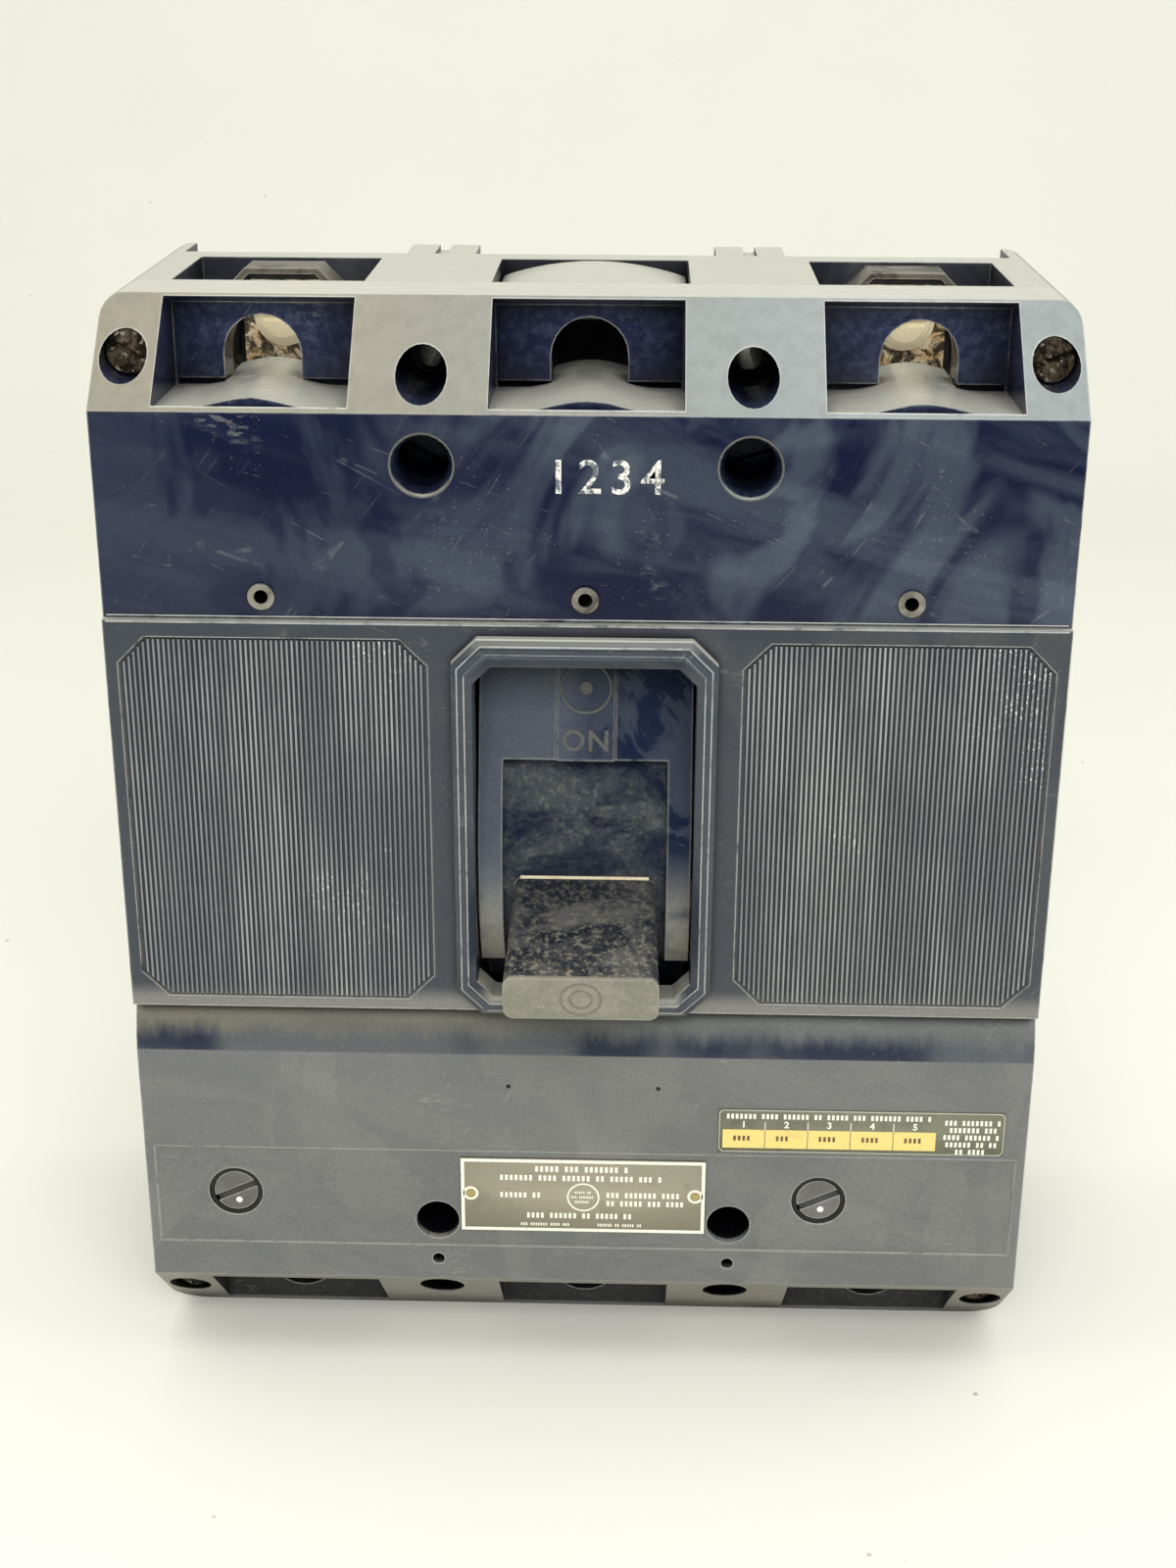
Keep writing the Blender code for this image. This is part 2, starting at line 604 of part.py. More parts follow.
def make_line_conductor(side):
    """Line strap, terminal block and fixed contact, brazed together."""
    x = side * POLE
    strap = new_object(f"line_conductor_{side_name(side)}",
                       prism(conductor_outline(False, 182.0), "X", x - 10, x + 10),
                       "copper")
    weld(strap, [block((x - 6, x + 6), (69.7, 72.5), (183.5, 193.5))])
    return cut(strap, [rod((x, TERMINAL_Z + SCREW_RISE), 3.3, "Y", 60, 71.4, 16)])


def make_load_conductor(side):
    """Load strap and terminal block, up to the flexible braid."""
    x = side * POLE
    strap = new_object(f"load_conductor_{side_name(side)}",
                       prism(conductor_outline(True, HEIGHT - 82.0), "X", x - 10, x + 10),
                       "copper")
    low = HEIGHT - TERMINAL_Z - SCREW_RISE
    return cut(strap, [rod((x, low), 3.3, "Y", 60, 71.4, 16)])


def make_terminal(side, end, z):
    """The octagonal wire collar and the clamping screw of one terminal."""
    x = side * POLE
    ring = prism(octagon(14.0, 14.0, 5.5, (x, z)), "Y", 60.0, 71.3)
    collar = new_object(f"{end}_collar_{side_name(side)}", ring, "aluminium_collar")
    cut(collar, [prism(octagon(12.6, 12.6, 4.9, (x, z)), "Y", 50, 80)])
    middle = (x, z + (SCREW_RISE if end == "line" else -SCREW_RISE))
    screw = new_object(f"{end}_terminal_screw_{side_name(side)}",
                       rod(middle, 7.1, "Y", 61.6, 64.2, 28), "brass")
    weld(screw, [rod(middle, 5.9, "Y", 60.0, 62.0, 28), rod(middle, 4.7, "Y", 58.0, 61.0),
                 rod(middle, 3.0, "Y", 63.0, 71.0, 16)])
    cut(screw, [block((x - 12, x + 12), (50, 59.4), (middle[1] - 0.8, middle[1] + 0.8))])
    return collar, shade_round(screw)


def make_arc_chute(side):
    """Slotted steel plates on a rear strap, in a fibre frame open at the arm."""
    x = side * POLE
    first, pitch, thick, count, strap = 10.0, 8.0, 2.0, 7, 221.8
    comb = [(first, 223.2)]
    for i in range(count):
        y = first + i * pitch
        comb += [(y, 178.0), (y + thick, 178.0)]
        if i < count - 1:
            comb += [(y + thick, strap), (y + pitch, strap)]
    comb.append((first + (count - 1) * pitch + thick, 223.2))
    plates = new_object(f"arc_chute_plates_{side_name(side)}",
                        prism(comb, "X", x - 16.5, x + 16.5), "spring_steel")
    cut(plates, [block((x - 7, x + 7), (0, 90), (150, 201.0))])
    frame = [(x - 19, 176), (x - 17, 176), (x - 17, 224.5), (x + 17, 224.5), (x + 17, 176),
             (x + 19, 176), (x + 19, 226.5), (x - 19, 226.5)]
    return plates, new_object(f"arc_chute_frame_{side_name(side)}",
                              prism(frame, "Y", 8.0, 64.0), "insulation")


def make_braid(side):
    """The flexible braid from the crossbar's socket down to the load strap."""
    x = side * POLE
    outer = arc((70.0, 97.0), 12.0, 130, 215, 8)
    inner = arc((70.0, 97.0), 9.5, 215, 130, 8)
    outline = outer + [(70.2, 82.6), (73.0, 82.6), (73.0, 85.4), (70.2, 85.4)] + inner
    return new_object(f"flex_braid_{side_name(side)}", prism(outline, "X", x - 5, x + 5),
                      "copper")


# ---------------------------------------------------------------- trip unit
KNOBS = {"left": (-83.6, 46.9), "right": (56.4, 47.1)}


def make_trip_pole(side):
    """Bimetal, magnet core and armature of one pole."""
    x = side * POLE
    strip = [(66.0, 29.5), (71.4, 29.5), (71.4, 36.0), (67.5, 36.0), (67.5, 78.0),
             (66.0, 78.0)]
    new_object(f"bimetal_{side_name(side)}", prism(strip, "X", x - 5, x + 5), "brass")
    core = [(x - 15, 52), (x - 12, 52), (x - 12, 68.3), (x + 12, 68.3), (x + 12, 52),
            (x + 15, 52), (x + 15, 71.3), (x - 15, 71.3)]
    magnet = new_object(f"magnet_core_{side_name(side)}", prism(core, "Z", 40.0, 58.0),
                        "spring_steel")
    y, z = ARMATURE_PIVOT
    lug = [(52.5, 56.0), (52.5, 50.0), (60.0, 50.0), (60.0, 56.0), (50.0, 67.5),
           (44.0, 67.5), (44.0, 60.5), (47.0, 60.5)]
    ears = both_sides(lambda s: prism(lug, "X", *sorted((x + s * 13.0, x + s * 15.0))))
    weld(magnet, ears)
    cut(magnet, [rod((y, z), 1.6, "X", x - 20, x + 20, 16)])
    plate = block((x - 12, x + 12), (-1.2, 1.2), (39.0 - z, 86.0 - z))
    armature = new_object(f"armature_{side_name(side)}", plate, "spring_steel",
                          ARMATURE_PIVOT)
    weld(armature, [rod((0, 0), 1.5, "X", x - 15.4, x + 15.4, 16)])


def make_trip_bar():
    """The common bar that both armatures push, with its latch in the middle."""
    bar = new_object("trip_bar", rod((0, 0), 3.2, "X", -93.0, 93.0, 16), "handle_molding",
                     TRIP_BAR)
    finger = [(-1.0, 2.0), (7.2, 2.0), (7.2, -11.0), (5.0, -11.0), (5.0, -2.0),
              (-1.0, -2.0)]
    latch = [(-3.0, 0.0), (0.0, 3.0), (-6.0, 13.0), (-13.0, 13.5), (-13.0, 10.5)]
    weld(bar, both_sides(lambda s: prism(finger, "X", s * POLE - 4, s * POLE + 4)))
    return weld(bar, [prism(latch, "X", -6.0, 6.0)])


def make_knob(name, x, z):
    """A trip setting knob: a stem through the cover with a shoulder behind it."""
    knob = new_object(f"trip_setting_knob_{name}", rod((0, 0), 5.3, "Y", 0.7, 16.0),
                      "knob_plastic", (0.0, z), x)
    weld(knob, [rod((0, 0), 7.6, "Y", 7.4, 10.0)])
    slot = block((-8, 8), (-2, 1.9), (-0.8, 0.8))
    slot.transform(Matrix.Rotation(radians(-25), 4, "Y"))
    return shade_round(cut(knob, [slot]))


# ---------------------------------------------------------------- small hardware
def make_screw(name, x, z, head, head_y, shank, end):
    """A slotted screw sunk in the cover and driven back into the base."""
    screw = new_object(name, rod((x, z), head, "Y", *head_y), "plated_steel")
    weld(screw, [rod((x, z), shank, "Y", head_y[1] - 1, end, 12)])
    slot = block((-head - 1, head + 1), (head_y[0] - 2, head_y[0] + 1.2), (-0.6, 0.6))
    slot.transform(Matrix.Rotation(radians(30 if x < 0 else -20), 4, "Y"))
    slot.transform(Matrix.Translation((x, 0, z)))
    return shade_round(cut(screw, [slot]))


def make_screws():
    places = {"upper_cover_screw": (34.7, 225.0, 4.9, (14.0, 18.0), 2.3),
              "lower_cover_screw": (35.0, 39.9, 4.9, (14.0, 18.0), 2.3),
              "upper_edge_screw": (98.5, 245.6, 4.8, (16.5, 20.0), 2.0),
              "lower_edge_screw": (98.7, 13.3, 4.8, (16.5, 20.0), 2.0)}
    for name, (x, z, head, head_y, shank) in places.items():
        for side in (-1, 1):
            make_screw(f"{name}_{side_name(side)}", side * x, z, head, head_y, shank, 62.0)


def make_eyelet(name, x):
    """A flanged metal eyelet in the top panel."""
    eyelet = new_object(f"cover_eyelet_{name}", rod((x, 196.0), 2.95, "Y", 0.7, 1.2),
                        "plated_steel")
    weld(eyelet, [rod((x, 196.0), 2.3, "Y", 1.0, 6.5, 16)])
    return shade_round(cut(eyelet, [rod((x, 196.0), 1.55, "Y", -2, 10, 16)]))


def make_plates():
    """The nameplate between its rivets and the setting label above the right knob."""
    new_object("nameplate", block((-29.3, 29.3), (-0.15, 0.25), (37.5, 57.5)),
               "nameplate_metal")
    new_object("setting_label", block((32.0, 99.3), (-0.25, -0.05), (60.6, 72.1)),
               "label_film")


def make_filler():
    """The domed insert that closes the unused middle pole at the line end."""
    half, crest, edge = 21.7, 257.0, 253.4
    rise = crest - edge
    radius = (half ** 2 + rise ** 2) / (2 * rise)
    turn = degrees(asin(half / radius))
    crown = arc((0, crest - radius), radius, 90 - turn, 90 + turn, 12)
    return new_object("center_pole_filler",
                      prism(crown + [(-half, 249.0), (half, 249.0)], "Y", 41.1, 75.6),
                      "filler_molding")


def main():
    for old in list(bpy.data.objects):
        bpy.data.objects.remove(old)
    datum = bpy.data.objects.new("case_datum", None)
    datum.location.y = DATUM_SHIFT * MM
    bpy.context.scene.collection.objects.link(datum)
    for build in (make_base, make_front_cover, make_trip_cover, make_bezel,
                  make_slot_plate, make_handle, make_yoke, make_cradle, make_upper_link,
                  make_lower_link, make_crossbar, make_trip_bar, make_screws, make_plates,
                  make_filler):
        build()
    for side in (-1, 1):
        for build in (make_side_plate, make_main_spring, make_contact_arm,
                      make_line_conductor, make_load_conductor, make_arc_chute, make_braid,
                      make_trip_pole):
            build(side)
        make_terminal(side, "line", TERMINAL_Z)
        make_terminal(side, "load", HEIGHT - TERMINAL_Z)
    for name, x in (("left", -70.0), ("center", 0.0), ("right", 70.0)):
        make_eyelet(name, x)
    for name, (x, z) in KNOBS.items():
        make_knob(name, x, z)


main()
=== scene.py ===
"""Looks of the molded case breaker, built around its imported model.

Sizes are millimetres in the breaker's own layout: X runs right, Y runs back from the
front plane of the raised middle panel, and Z runs up from the load end. at() turns such
a point into the frame's metres.
"""

import json
from math import cos, pi, radians, sin

import bmesh
import bpy
from mathutils import Matrix, Vector


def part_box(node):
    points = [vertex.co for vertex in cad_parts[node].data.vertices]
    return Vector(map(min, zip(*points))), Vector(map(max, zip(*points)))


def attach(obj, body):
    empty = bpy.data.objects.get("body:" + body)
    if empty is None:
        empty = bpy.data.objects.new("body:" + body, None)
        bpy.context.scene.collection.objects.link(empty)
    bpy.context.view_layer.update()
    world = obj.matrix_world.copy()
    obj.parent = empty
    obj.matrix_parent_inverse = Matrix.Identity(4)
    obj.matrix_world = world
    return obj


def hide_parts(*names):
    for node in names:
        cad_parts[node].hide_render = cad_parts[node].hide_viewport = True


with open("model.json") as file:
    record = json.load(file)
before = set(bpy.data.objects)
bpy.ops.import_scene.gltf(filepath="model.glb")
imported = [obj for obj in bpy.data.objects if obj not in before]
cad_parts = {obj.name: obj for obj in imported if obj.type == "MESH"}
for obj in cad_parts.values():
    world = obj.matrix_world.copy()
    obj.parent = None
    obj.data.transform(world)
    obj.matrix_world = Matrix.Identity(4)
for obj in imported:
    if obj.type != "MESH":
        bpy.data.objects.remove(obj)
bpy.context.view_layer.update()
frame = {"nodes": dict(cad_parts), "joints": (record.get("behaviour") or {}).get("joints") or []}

MM = 0.001
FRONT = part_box("front_cover")[0].y

# Camera: place in the layout's millimetres, turns in degrees, lens in millimetres
CAMERA_PLACE = (11.847, -446.557, 332.313)
CAMERA_PITCH = 21.77
CAMERA_YAW = -1.418
CAMERA_ROLL = -0.261
CAMERA_LENS = 49.81

# The handle's lean at rest in degrees, and distances from its pivot in millimetres:
# where its shield ends, where its pale tip begins, painted pale as a reflection of the floor,
# and where its tip's face lies
HANDLE_TURN = 13.7
SHIELD_END = 46.4
TIP_START = 75.5
HANDLE_REACH = 76.49

# The slot plate's front in millimetres: the (y, z) centre and the radius of its round
# lower part, and the lean in degrees of the flat above, which ends in the tab
PLATE_CENTRE = (50.0, 131.0)
PLATE_RADIUS = 48.4
PLATE_LEAN = 20.0
TAB_FOOT, TAB_PROUD = 160.0, 0.6

# Albedo of what has settled on the molding and of its rubbed edges, with painted light among them:
# the warm and the cool dust carry the colours of the warm and the cool lamps as painted light, the
# top dust is partly a painted sheen, the rubbed edges are partly a painted highlight, the tan for
# faces turned down is a painted reflection of the floor, and pitch black also serves as painted
# shade in holes and recesses
WARM_LIT_DUST = (0.25, 0.218, 0.145)
COOL_LIT_DUST = (0.25, 0.275, 0.27)
TOP_DUST_AND_SHEEN = (0.47, 0.46, 0.395)
RUBBED_AND_LIT = (0.5, 0.5, 0.45)
GRIT = (0.4, 0.39, 0.35)
FOOT_TAN = (0.205, 0.2, 0.178)
FLOOR_REFLECTION_TAN = (0.205, 0.19, 0.15)
PITCH_BLACK = (0.002, 0.002, 0.003)

# Bounds of the covers' recesses in millimetres: their half width, depths and top, and
# y - z on the upper chamfer and y + z on the lower one
RECESS_SIDE = 103.0
RECESS_FRONT, RECESS_BACK = 2.0, 38.0
RECESS_TOP = 256.0
TOP_SLANT = 1.5 - 235.9
LOW_SLANT = 23.46
# Half widths between which the screw and bolt holes lie, and beyond which edge screws do
BOLT_SPAN = (24.0, 46.0)
EDGE_SCREWS = 92.0
# Where the top panel steps down to the side panels, in height
PANEL_STEP = 190.6

# (x, z) of small trim in millimetres, mirrored on the other side
COVER_SCREW = (34.7, 225.0)
DRIVE_PIN = (17.6, 77.1)
RIVET = (26.9, 47.9)


# ---- places
def at(x, y, z):
    """A layout point in millimetres, in the frame's metres."""
    return Vector((x * MM, FRONT + y * MM, z * MM))


def box_of(node):
    """The node's lowest and highest corners in the layout's millimetres."""
    low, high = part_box(node)
    shift = Vector((0.0, FRONT, 0.0))
    return (low - shift) / MM, (high - shift) / MM


def middle_of(node):
    """The (x, z) middle of a node's box in the layout's millimetres."""
    low, high = box_of(node)
    return (low.x + high.x) / 2, (low.z + high.z) / 2


def handle_pivot():
    """Where the handle turns, in the frame's metres."""
    return Vector(next(j for j in frame["joints"] if j["name"] == "handle_swing")["pos_m"])


# ---- materials
class Look:
    """A Principled material, with short calls for the nodes that feed it."""

    def __init__(self, name, roughness=0.5, metallic=0.0, specular=0.5):
        self.material = bpy.data.materials.new(name)
        self.material.use_nodes = True
        self.tree = self.material.node_tree
        self.shader = self.tree.nodes["Principled BSDF"]
        self.shader.inputs["Metallic"].default_value = metallic
        self.shader.inputs["Roughness"].default_value = roughness
        self.shader.inputs["Specular IOR Level"].default_value = specular
        self.place = self.add("TexCoord").outputs["Object"]
        self.bumps = []

    def add(self, kind, inputs=None, **settings):
        made = self.tree.nodes.new("ShaderNode" + kind)
        for key, value in settings.items():
            setattr(made, key, value)
        for key, value in (inputs or {}).items():
            self.feed(made.inputs[key], value)
        return made

    def feed(self, socket, value):
        """Links a socket, or sets its value, where a colour may be an RGB triple."""
        if isinstance(value, bpy.types.NodeSocket):
            self.tree.links.new(value, socket)
        else:
            socket.default_value = (*value, 1.0) if socket.type == "RGBA" else value

    def noise(self, scale, detail=4.0, stretch=(1.0, 1.0, 1.0), warp=0.0, rough=0.55,
              turn=(0.0, 0.0, 0.0)):
        """Noise over the object, its scale in cycles to a metre."""
        placed = self.add("Mapping", {"Vector": self.place, "Rotation": turn,
                                      "Scale": [1.0 / s for s in stretch]}, vector_type="TEXTURE")
        return self.add("TexNoise", {"Vector": placed.outputs[0], "Scale": scale,
                                     "Detail": detail, "Roughness": rough,
                                     "Distortion": warp}).outputs["Fac"]

    def patches(self, low, high, *noise, **shape):
        """noise() of the later arguments, as patches of 1 where it passes high."""
        return self.band(self.noise(*noise, **shape), low, high)

    def cells(self, scale):
        """Distance to the nearest of scattered points."""
        return self.add("TexVoronoi", {"Vector": self.place, "Scale": scale}).outputs["Distance"]

    def band(self, value, low, high):
        """0 at low and 1 at high, held flat outside them."""
        return self.add("MapRange", {"Value": value, "From Min": low, "From Max": high},
                        interpolation_type="SMOOTHSTEP").outputs["Result"]

    def rise(self, value, start, width, base=0.0):
        """0 up to start and 1 from width beyond it, in millimetres past base metres."""
        return self.band(value, base + start * MM, base + (start + width) * MM)

    def scale_to(self, value, low, high):
        """A value from 0 to 1, spread over low to high."""
        return self.add("MapRange", {"Value": value, "To Min": low,
                                     "To Max": high}).outputs["Result"]

    def plain(self, operation, first, second, clamped=False):
        """Arithmetic whose result may leave 0 to 1, unless it is clamped."""
        return self.add("Math", {0: first, 1: second}, operation=operation,
                        use_clamp=clamped).outputs[0]

    def math(self, operation, first, second=0.0):
        """Arithmetic, held to 0 to 1 where it adds, subtracts or multiplies."""
        clamped = operation in ("MULTIPLY", "ADD", "SUBTRACT")
        return self.plain(operation, first, second, clamped)

    def less(self, value):
        """What is left of 1."""
        return self.math("SUBTRACT", 1.0, value)

    def times(self, *values):
        found = values[0]
        for value in values[1:]:
            found = self.math("MULTIPLY", found, value)
        return found

    def blend(self, share, first, second):
        """A colour between two, each a socket or an RGB triple."""
        made = self.add("Mix", data_type="RGBA")
        for index, value in ((0, share), (6, first), (7, second)):
            self.feed(made.inputs[index], value)
        return made.outputs[2]

    def over(self, below, shares, colour):
        """A colour laid over another by the product of some shares."""
        return self.blend(self.times(*shares), below, colour)

    def along(self, axis):
        """The place along one of the frame's axes, in metres."""
        return self.add("SeparateXYZ", {0: self.place}).outputs[axis]

    def height(self):
        return self.along("Z")

    def across(self):
        return self.along("X")

    def normal(self):
        return self.add("NewGeometry").outputs["Normal"]

    def facing(self, low, high, axis="Z"):
        """1 where the surface faces the axis's positive way more than high."""
        part = self.add("SeparateXYZ", {0: self.normal()}).outputs[axis]
        return self.band(part, low, high)

    def edges(self, radius, low=0.02, high=0.3):
        """1 on edges and in creases, from how far the rounded normal leans over."""
        rounded = self.add("Bevel", {"Radius": radius * MM}, samples=4).outputs[0]
        same = self.add("VectorMath", {0: rounded, 1: self.normal()}, operation="DOT_PRODUCT")
        return self.band(self.less(same.outputs["Value"]), low, high)

    def worn_and_lit_edges(self, edges, scale, low, high):
        """Edges in patches, partly rubbed wear and partly painted highlight: edges() of its
        arguments, broken by noise.
        """
        return self.times(self.edges(*edges), self.patches(low, high, scale, 4.0))

    def scratches(self, scale, width, stretch, degrees):
        """Thin hairlines: where slow stretched noise crosses its middle value."""
        line = self.noise(scale, 1.0, stretch, turn=(0.0, radians(degrees), 0.0))
        off = self.math("ABSOLUTE", self.plain("SUBTRACT", line, 0.5))
        thin = self.less(self.band(off, 0.0, width))
        return self.times(thin, self.patches(0.55, 0.67, scale * 1.7, 3.0))

    def specks(self, scale, size, share):
        """Scattered grains that only part of the surface has."""
        grain = self.less(self.band(self.cells(scale), 0.0, size))
        return self.times(grain, self.patches(share, share + 0.1, scale * 0.06, 3.0))

    def bump(self, value, depth):
        """Adds relief, its depth in millimetres."""
        self.bumps.append((value, depth))

    def finish(self, colour, roughness=None):
        """Feeds the shader with the colour, the roughness and all relief."""
        self.feed(self.shader.inputs["Base Color"], colour)
        if roughness is not None:
            self.feed(self.shader.inputs["Roughness"], roughness)
        normal = None
        for value, depth in self.bumps:
            inputs = {"Height": value, "Distance": depth * MM, "Strength": 1.0}
            if normal:
                inputs["Normal"] = normal
            normal = self.add("Bump", inputs).outputs["Normal"]
        if normal:
            self.feed(self.shader.inputs["Normal"], normal)
        return self.material


def dust_and_painted_light(look, level):
    """Dust, uneven all over, with painted light in it: tan towards the left and bluish grey
    towards the right as painted colour of the warm and the cool lamps.

    level is the range of the normal's rise over which it turns pale, partly dust and partly a
    painted sheen of the overhead light.
    """
    drift = look.noise(12.0, 2.0)
    # Painted light: the dust turns tan to the left and bluish grey to the right, the colours of
    # the warm and the cool lamps.
    side = look.math("ADD", look.rise(look.across(), -90.0, 180.0), look.times(drift, 0.3))
    tint = look.blend(side, WARM_LIT_DUST, COOL_LIT_DUST)
    dark = look.patches(0.35, 0.7, 300.0, 6.0, (1.0, 1.0, 0.6), rough=0.7)
    tint = look.over(tint, (dark, 0.25), (0.1, 0.095, 0.075))
    combed = look.patches(0.35, 0.7, 900.0, 5.0, (0.15, 1.0, 1.0), rough=0.7)
    # Pale dust on level faces, partly a painted sheen of the overhead light.
    pale = look.blend(look.times(combed, 0.22), TOP_DUST_AND_SHEEN, (0.22, 0.21, 0.17))
    return look.blend(look.facing(*level), tint, pale)


def bare_inside(look):
    """1 in the recesses behind the skin and its two chamfers, where no haze reaches."""
    side = look.less(look.rise(look.math("ABSOLUTE", look.across()), RECESS_SIDE, 0.6))
    back = look.along("Y")
    lean_top = look.plain("SUBTRACT", back, look.height())
    lean_low = look.plain("ADD", back, look.height())
    skin = look.rise(back, RECESS_FRONT, 0.6, FRONT)
    under_top = look.rise(lean_top, TOP_SLANT, 1.0, FRONT)
    over_low = look.rise(lean_low, LOW_SLANT, 1.0, FRONT)
    case = look.less(look.rise(back, RECESS_BACK, 1.0, FRONT))
    below = look.less(look.rise(look.height(), RECESS_TOP, 0.4))
    return look.times(skin, under_top, over_low, case, side, below)


def bored(look):
    """1 at the widths where only screw and bolt holes go in, so no dust lies there."""
    side = look.math("ABSOLUTE", look.across())
    bolts = look.times(look.rise(side, BOLT_SPAN[0], 1.0),
                       look.less(look.rise(side, BOLT_SPAN[1], 1.0)))
    return look.math("MAXIMUM", bolts, look.rise(side, EDGE_SCREWS, 1.0))


def molded(name, clean, haze, gloss, specular=0.4, upper=None, edge=RUBBED_AND_LIT,
           shoulder=None, dirty_foot=None, painted_shade_depth=0.96, level=(0.86, 0.97),
           shaded_walls=None, dusty_walls=True):
    """Compression-molded phenolic: cloudy, finely scratched, dusty on what faces up, with painted
    light and shade laid into its colour.

    clean and haze are the bare and the smudged surface and gloss the range of roughness.
    upper is (height in mm, clean, haze) for a panel above that height. shoulder is the
    range of heights in mm of a rounded shoulder painted with light and shade: a tan painted
    highlight, a dark band along its foot that is partly painted reflection and partly smudges,
    and painted shadow under the overhang. dirty_foot is the range over which the front turns
    tan downwards, painted_shade_depth how black the surface is painted where ambient occlusion
    is high, as painted shade in holes and recesses, and level the range of the normal's rise
    over which dust turns pale, partly as a painted sheen. shaded_walls is the darkest and the
    palest colour inside a cover's recesses, taken in their shade and so holding painted shade,
    and dusty_walls says whether dust settles in there.
    """
    look = Look(name, specular=specular)
    # Ambient occlusion, for painted shade in holes and recesses.
    ambient_occlusion = look.add("AmbientOcclusion", {"Distance": 14.0 * MM}, samples=4).outputs["AO"]
    unoccluded = look.band(ambient_occlusion, 0.3, 0.78)
    front = look.less(look.facing(-0.6, -0.3, "Y"))
    if upper:
        above = look.times(look.rise(look.height(), upper[0], 0.5), front)
        clean = look.blend(above, clean, upper[1])
        haze = look.blend(above, haze, upper[2])
    cloud = look.patches(0.44, 0.6, 19.0, 3.0, (1.0, 1.0, 0.75), warp=2.2)
    wiped = look.noise(70.0, 5.0, (0.22, 1.0, 1.0), warp=0.5, rough=0.6,
                       turn=(0.0, radians(14), 0.0))
    streak = look.band(wiped, 0.4, 0.66)
    cloud = look.times(cloud, look.scale_to(streak, 0.55, 1.0))
    smudge = look.math("MAXIMUM", look.times(streak, 0.5), cloud)
    if upper:
        side = look.scale_to(look.rise(look.across(), -80.0, 110.0), 0.4, 1.0)
        smudge = look.times(smudge, side)
    inside = bare_inside(look) if shaded_walls else 0.0
    smudge = look.times(smudge, look.less(look.times(inside, 0.8)))
    body = look.blend(smudge, clean, haze)
    if shaded_walls:
        # Painted shade: recess walls take their colours as seen in shade, near black in the lower
        # cover.
        pits = look.patches(0.42, 0.66, 420.0, 6.0, rough=0.7)
        body = look.over(body, (inside, 0.9), look.blend(pits, *shaded_walls))
    if shoulder:
        body = painted_shoulder_shading(look, body, front, *shoulder)
    if dirty_foot:
        low = look.band(look.height(), dirty_foot[0] * MM, dirty_foot[1] * MM)
        low = look.times(look.less(low), front, look.less(inside))
        body = look.over(body, (low, 0.9), FOOT_TAN)
    grain = look.patches(0.35, 0.65, 2400.0, 3.0, rough=0.7)
    body = look.over(body, (grain, 0.22), PITCH_BLACK)
    fine = look.scratches(110.0, 0.006, (0.07, 1.0, 1.0), 24)
    cross = look.scratches(90.0, 0.005, (0.06, 1.0, 1.0), -52)
    hair = look.math("MAXIMUM", fine, cross)
    body = look.over(body, (hair, 0.1), edge)
    scuff = look.times(look.patches(0.62, 0.74, 48.0, 5.0, warp=0.5),
                       look.patches(0.5, 0.62, 900.0, 4.0, (0.4, 1.0, 1.0)))
    body = look.over(body, (scuff, 0.16), edge)
    shade = look.band(ambient_occlusion, 0.16, 0.5)
    clear = look.times(inside, bored(look)) if shaded_walls and dusty_walls else inside
    # Dust on faces turned up, partly a painted sheen, tinted by painted lamp colour.
    up = look.times(look.facing(0.3, 0.7), shade, look.less(clear))
    body = look.over(body, (up, 0.95), dust_and_painted_light(look, level))
    # Edges painted pale: partly rubbed wear, partly a painted highlight.
    edge_wear_and_highlight = look.worn_and_lit_edges((0.6, 0.01, 0.22), 260.0, 0.22, 0.52)
    body = look.over(body, (edge_wear_and_highlight, shade, 0.9), edge)
    body = look.over(body, (look.specks(800.0, 0.15, 0.5), 0.6), GRIT)
    # Painted shade: black where ambient occlusion is high and no dust lies.
    occlusion_shade = look.times(look.less(unoccluded), look.less(up))
    body = look.over(body, (occlusion_shade, painted_shade_depth), PITCH_BLACK)
    # Painted reflection: faces turned down take the tan of the pale floor they face.
    floor_reflection = look.times(look.less(look.facing(-0.75, -0.5)), look.less(inside), shade)
    body = look.over(body, (floor_reflection, 0.85), FLOOR_REFLECTION_TAN)
    rough = look.scale_to(look.math("MAXIMUM", smudge, up), *gloss)
    rough = look.math("SUBTRACT", rough, look.times(look.facing(0.9, 0.97), 0.25))
    look.bump(look.noise(900.0, 3.0), 0.012)
    look.bump(look.noise(75.0, 3.0), 0.05)
    look.bump(look.less(hair), 0.01)
    return look.finish(body, rough)


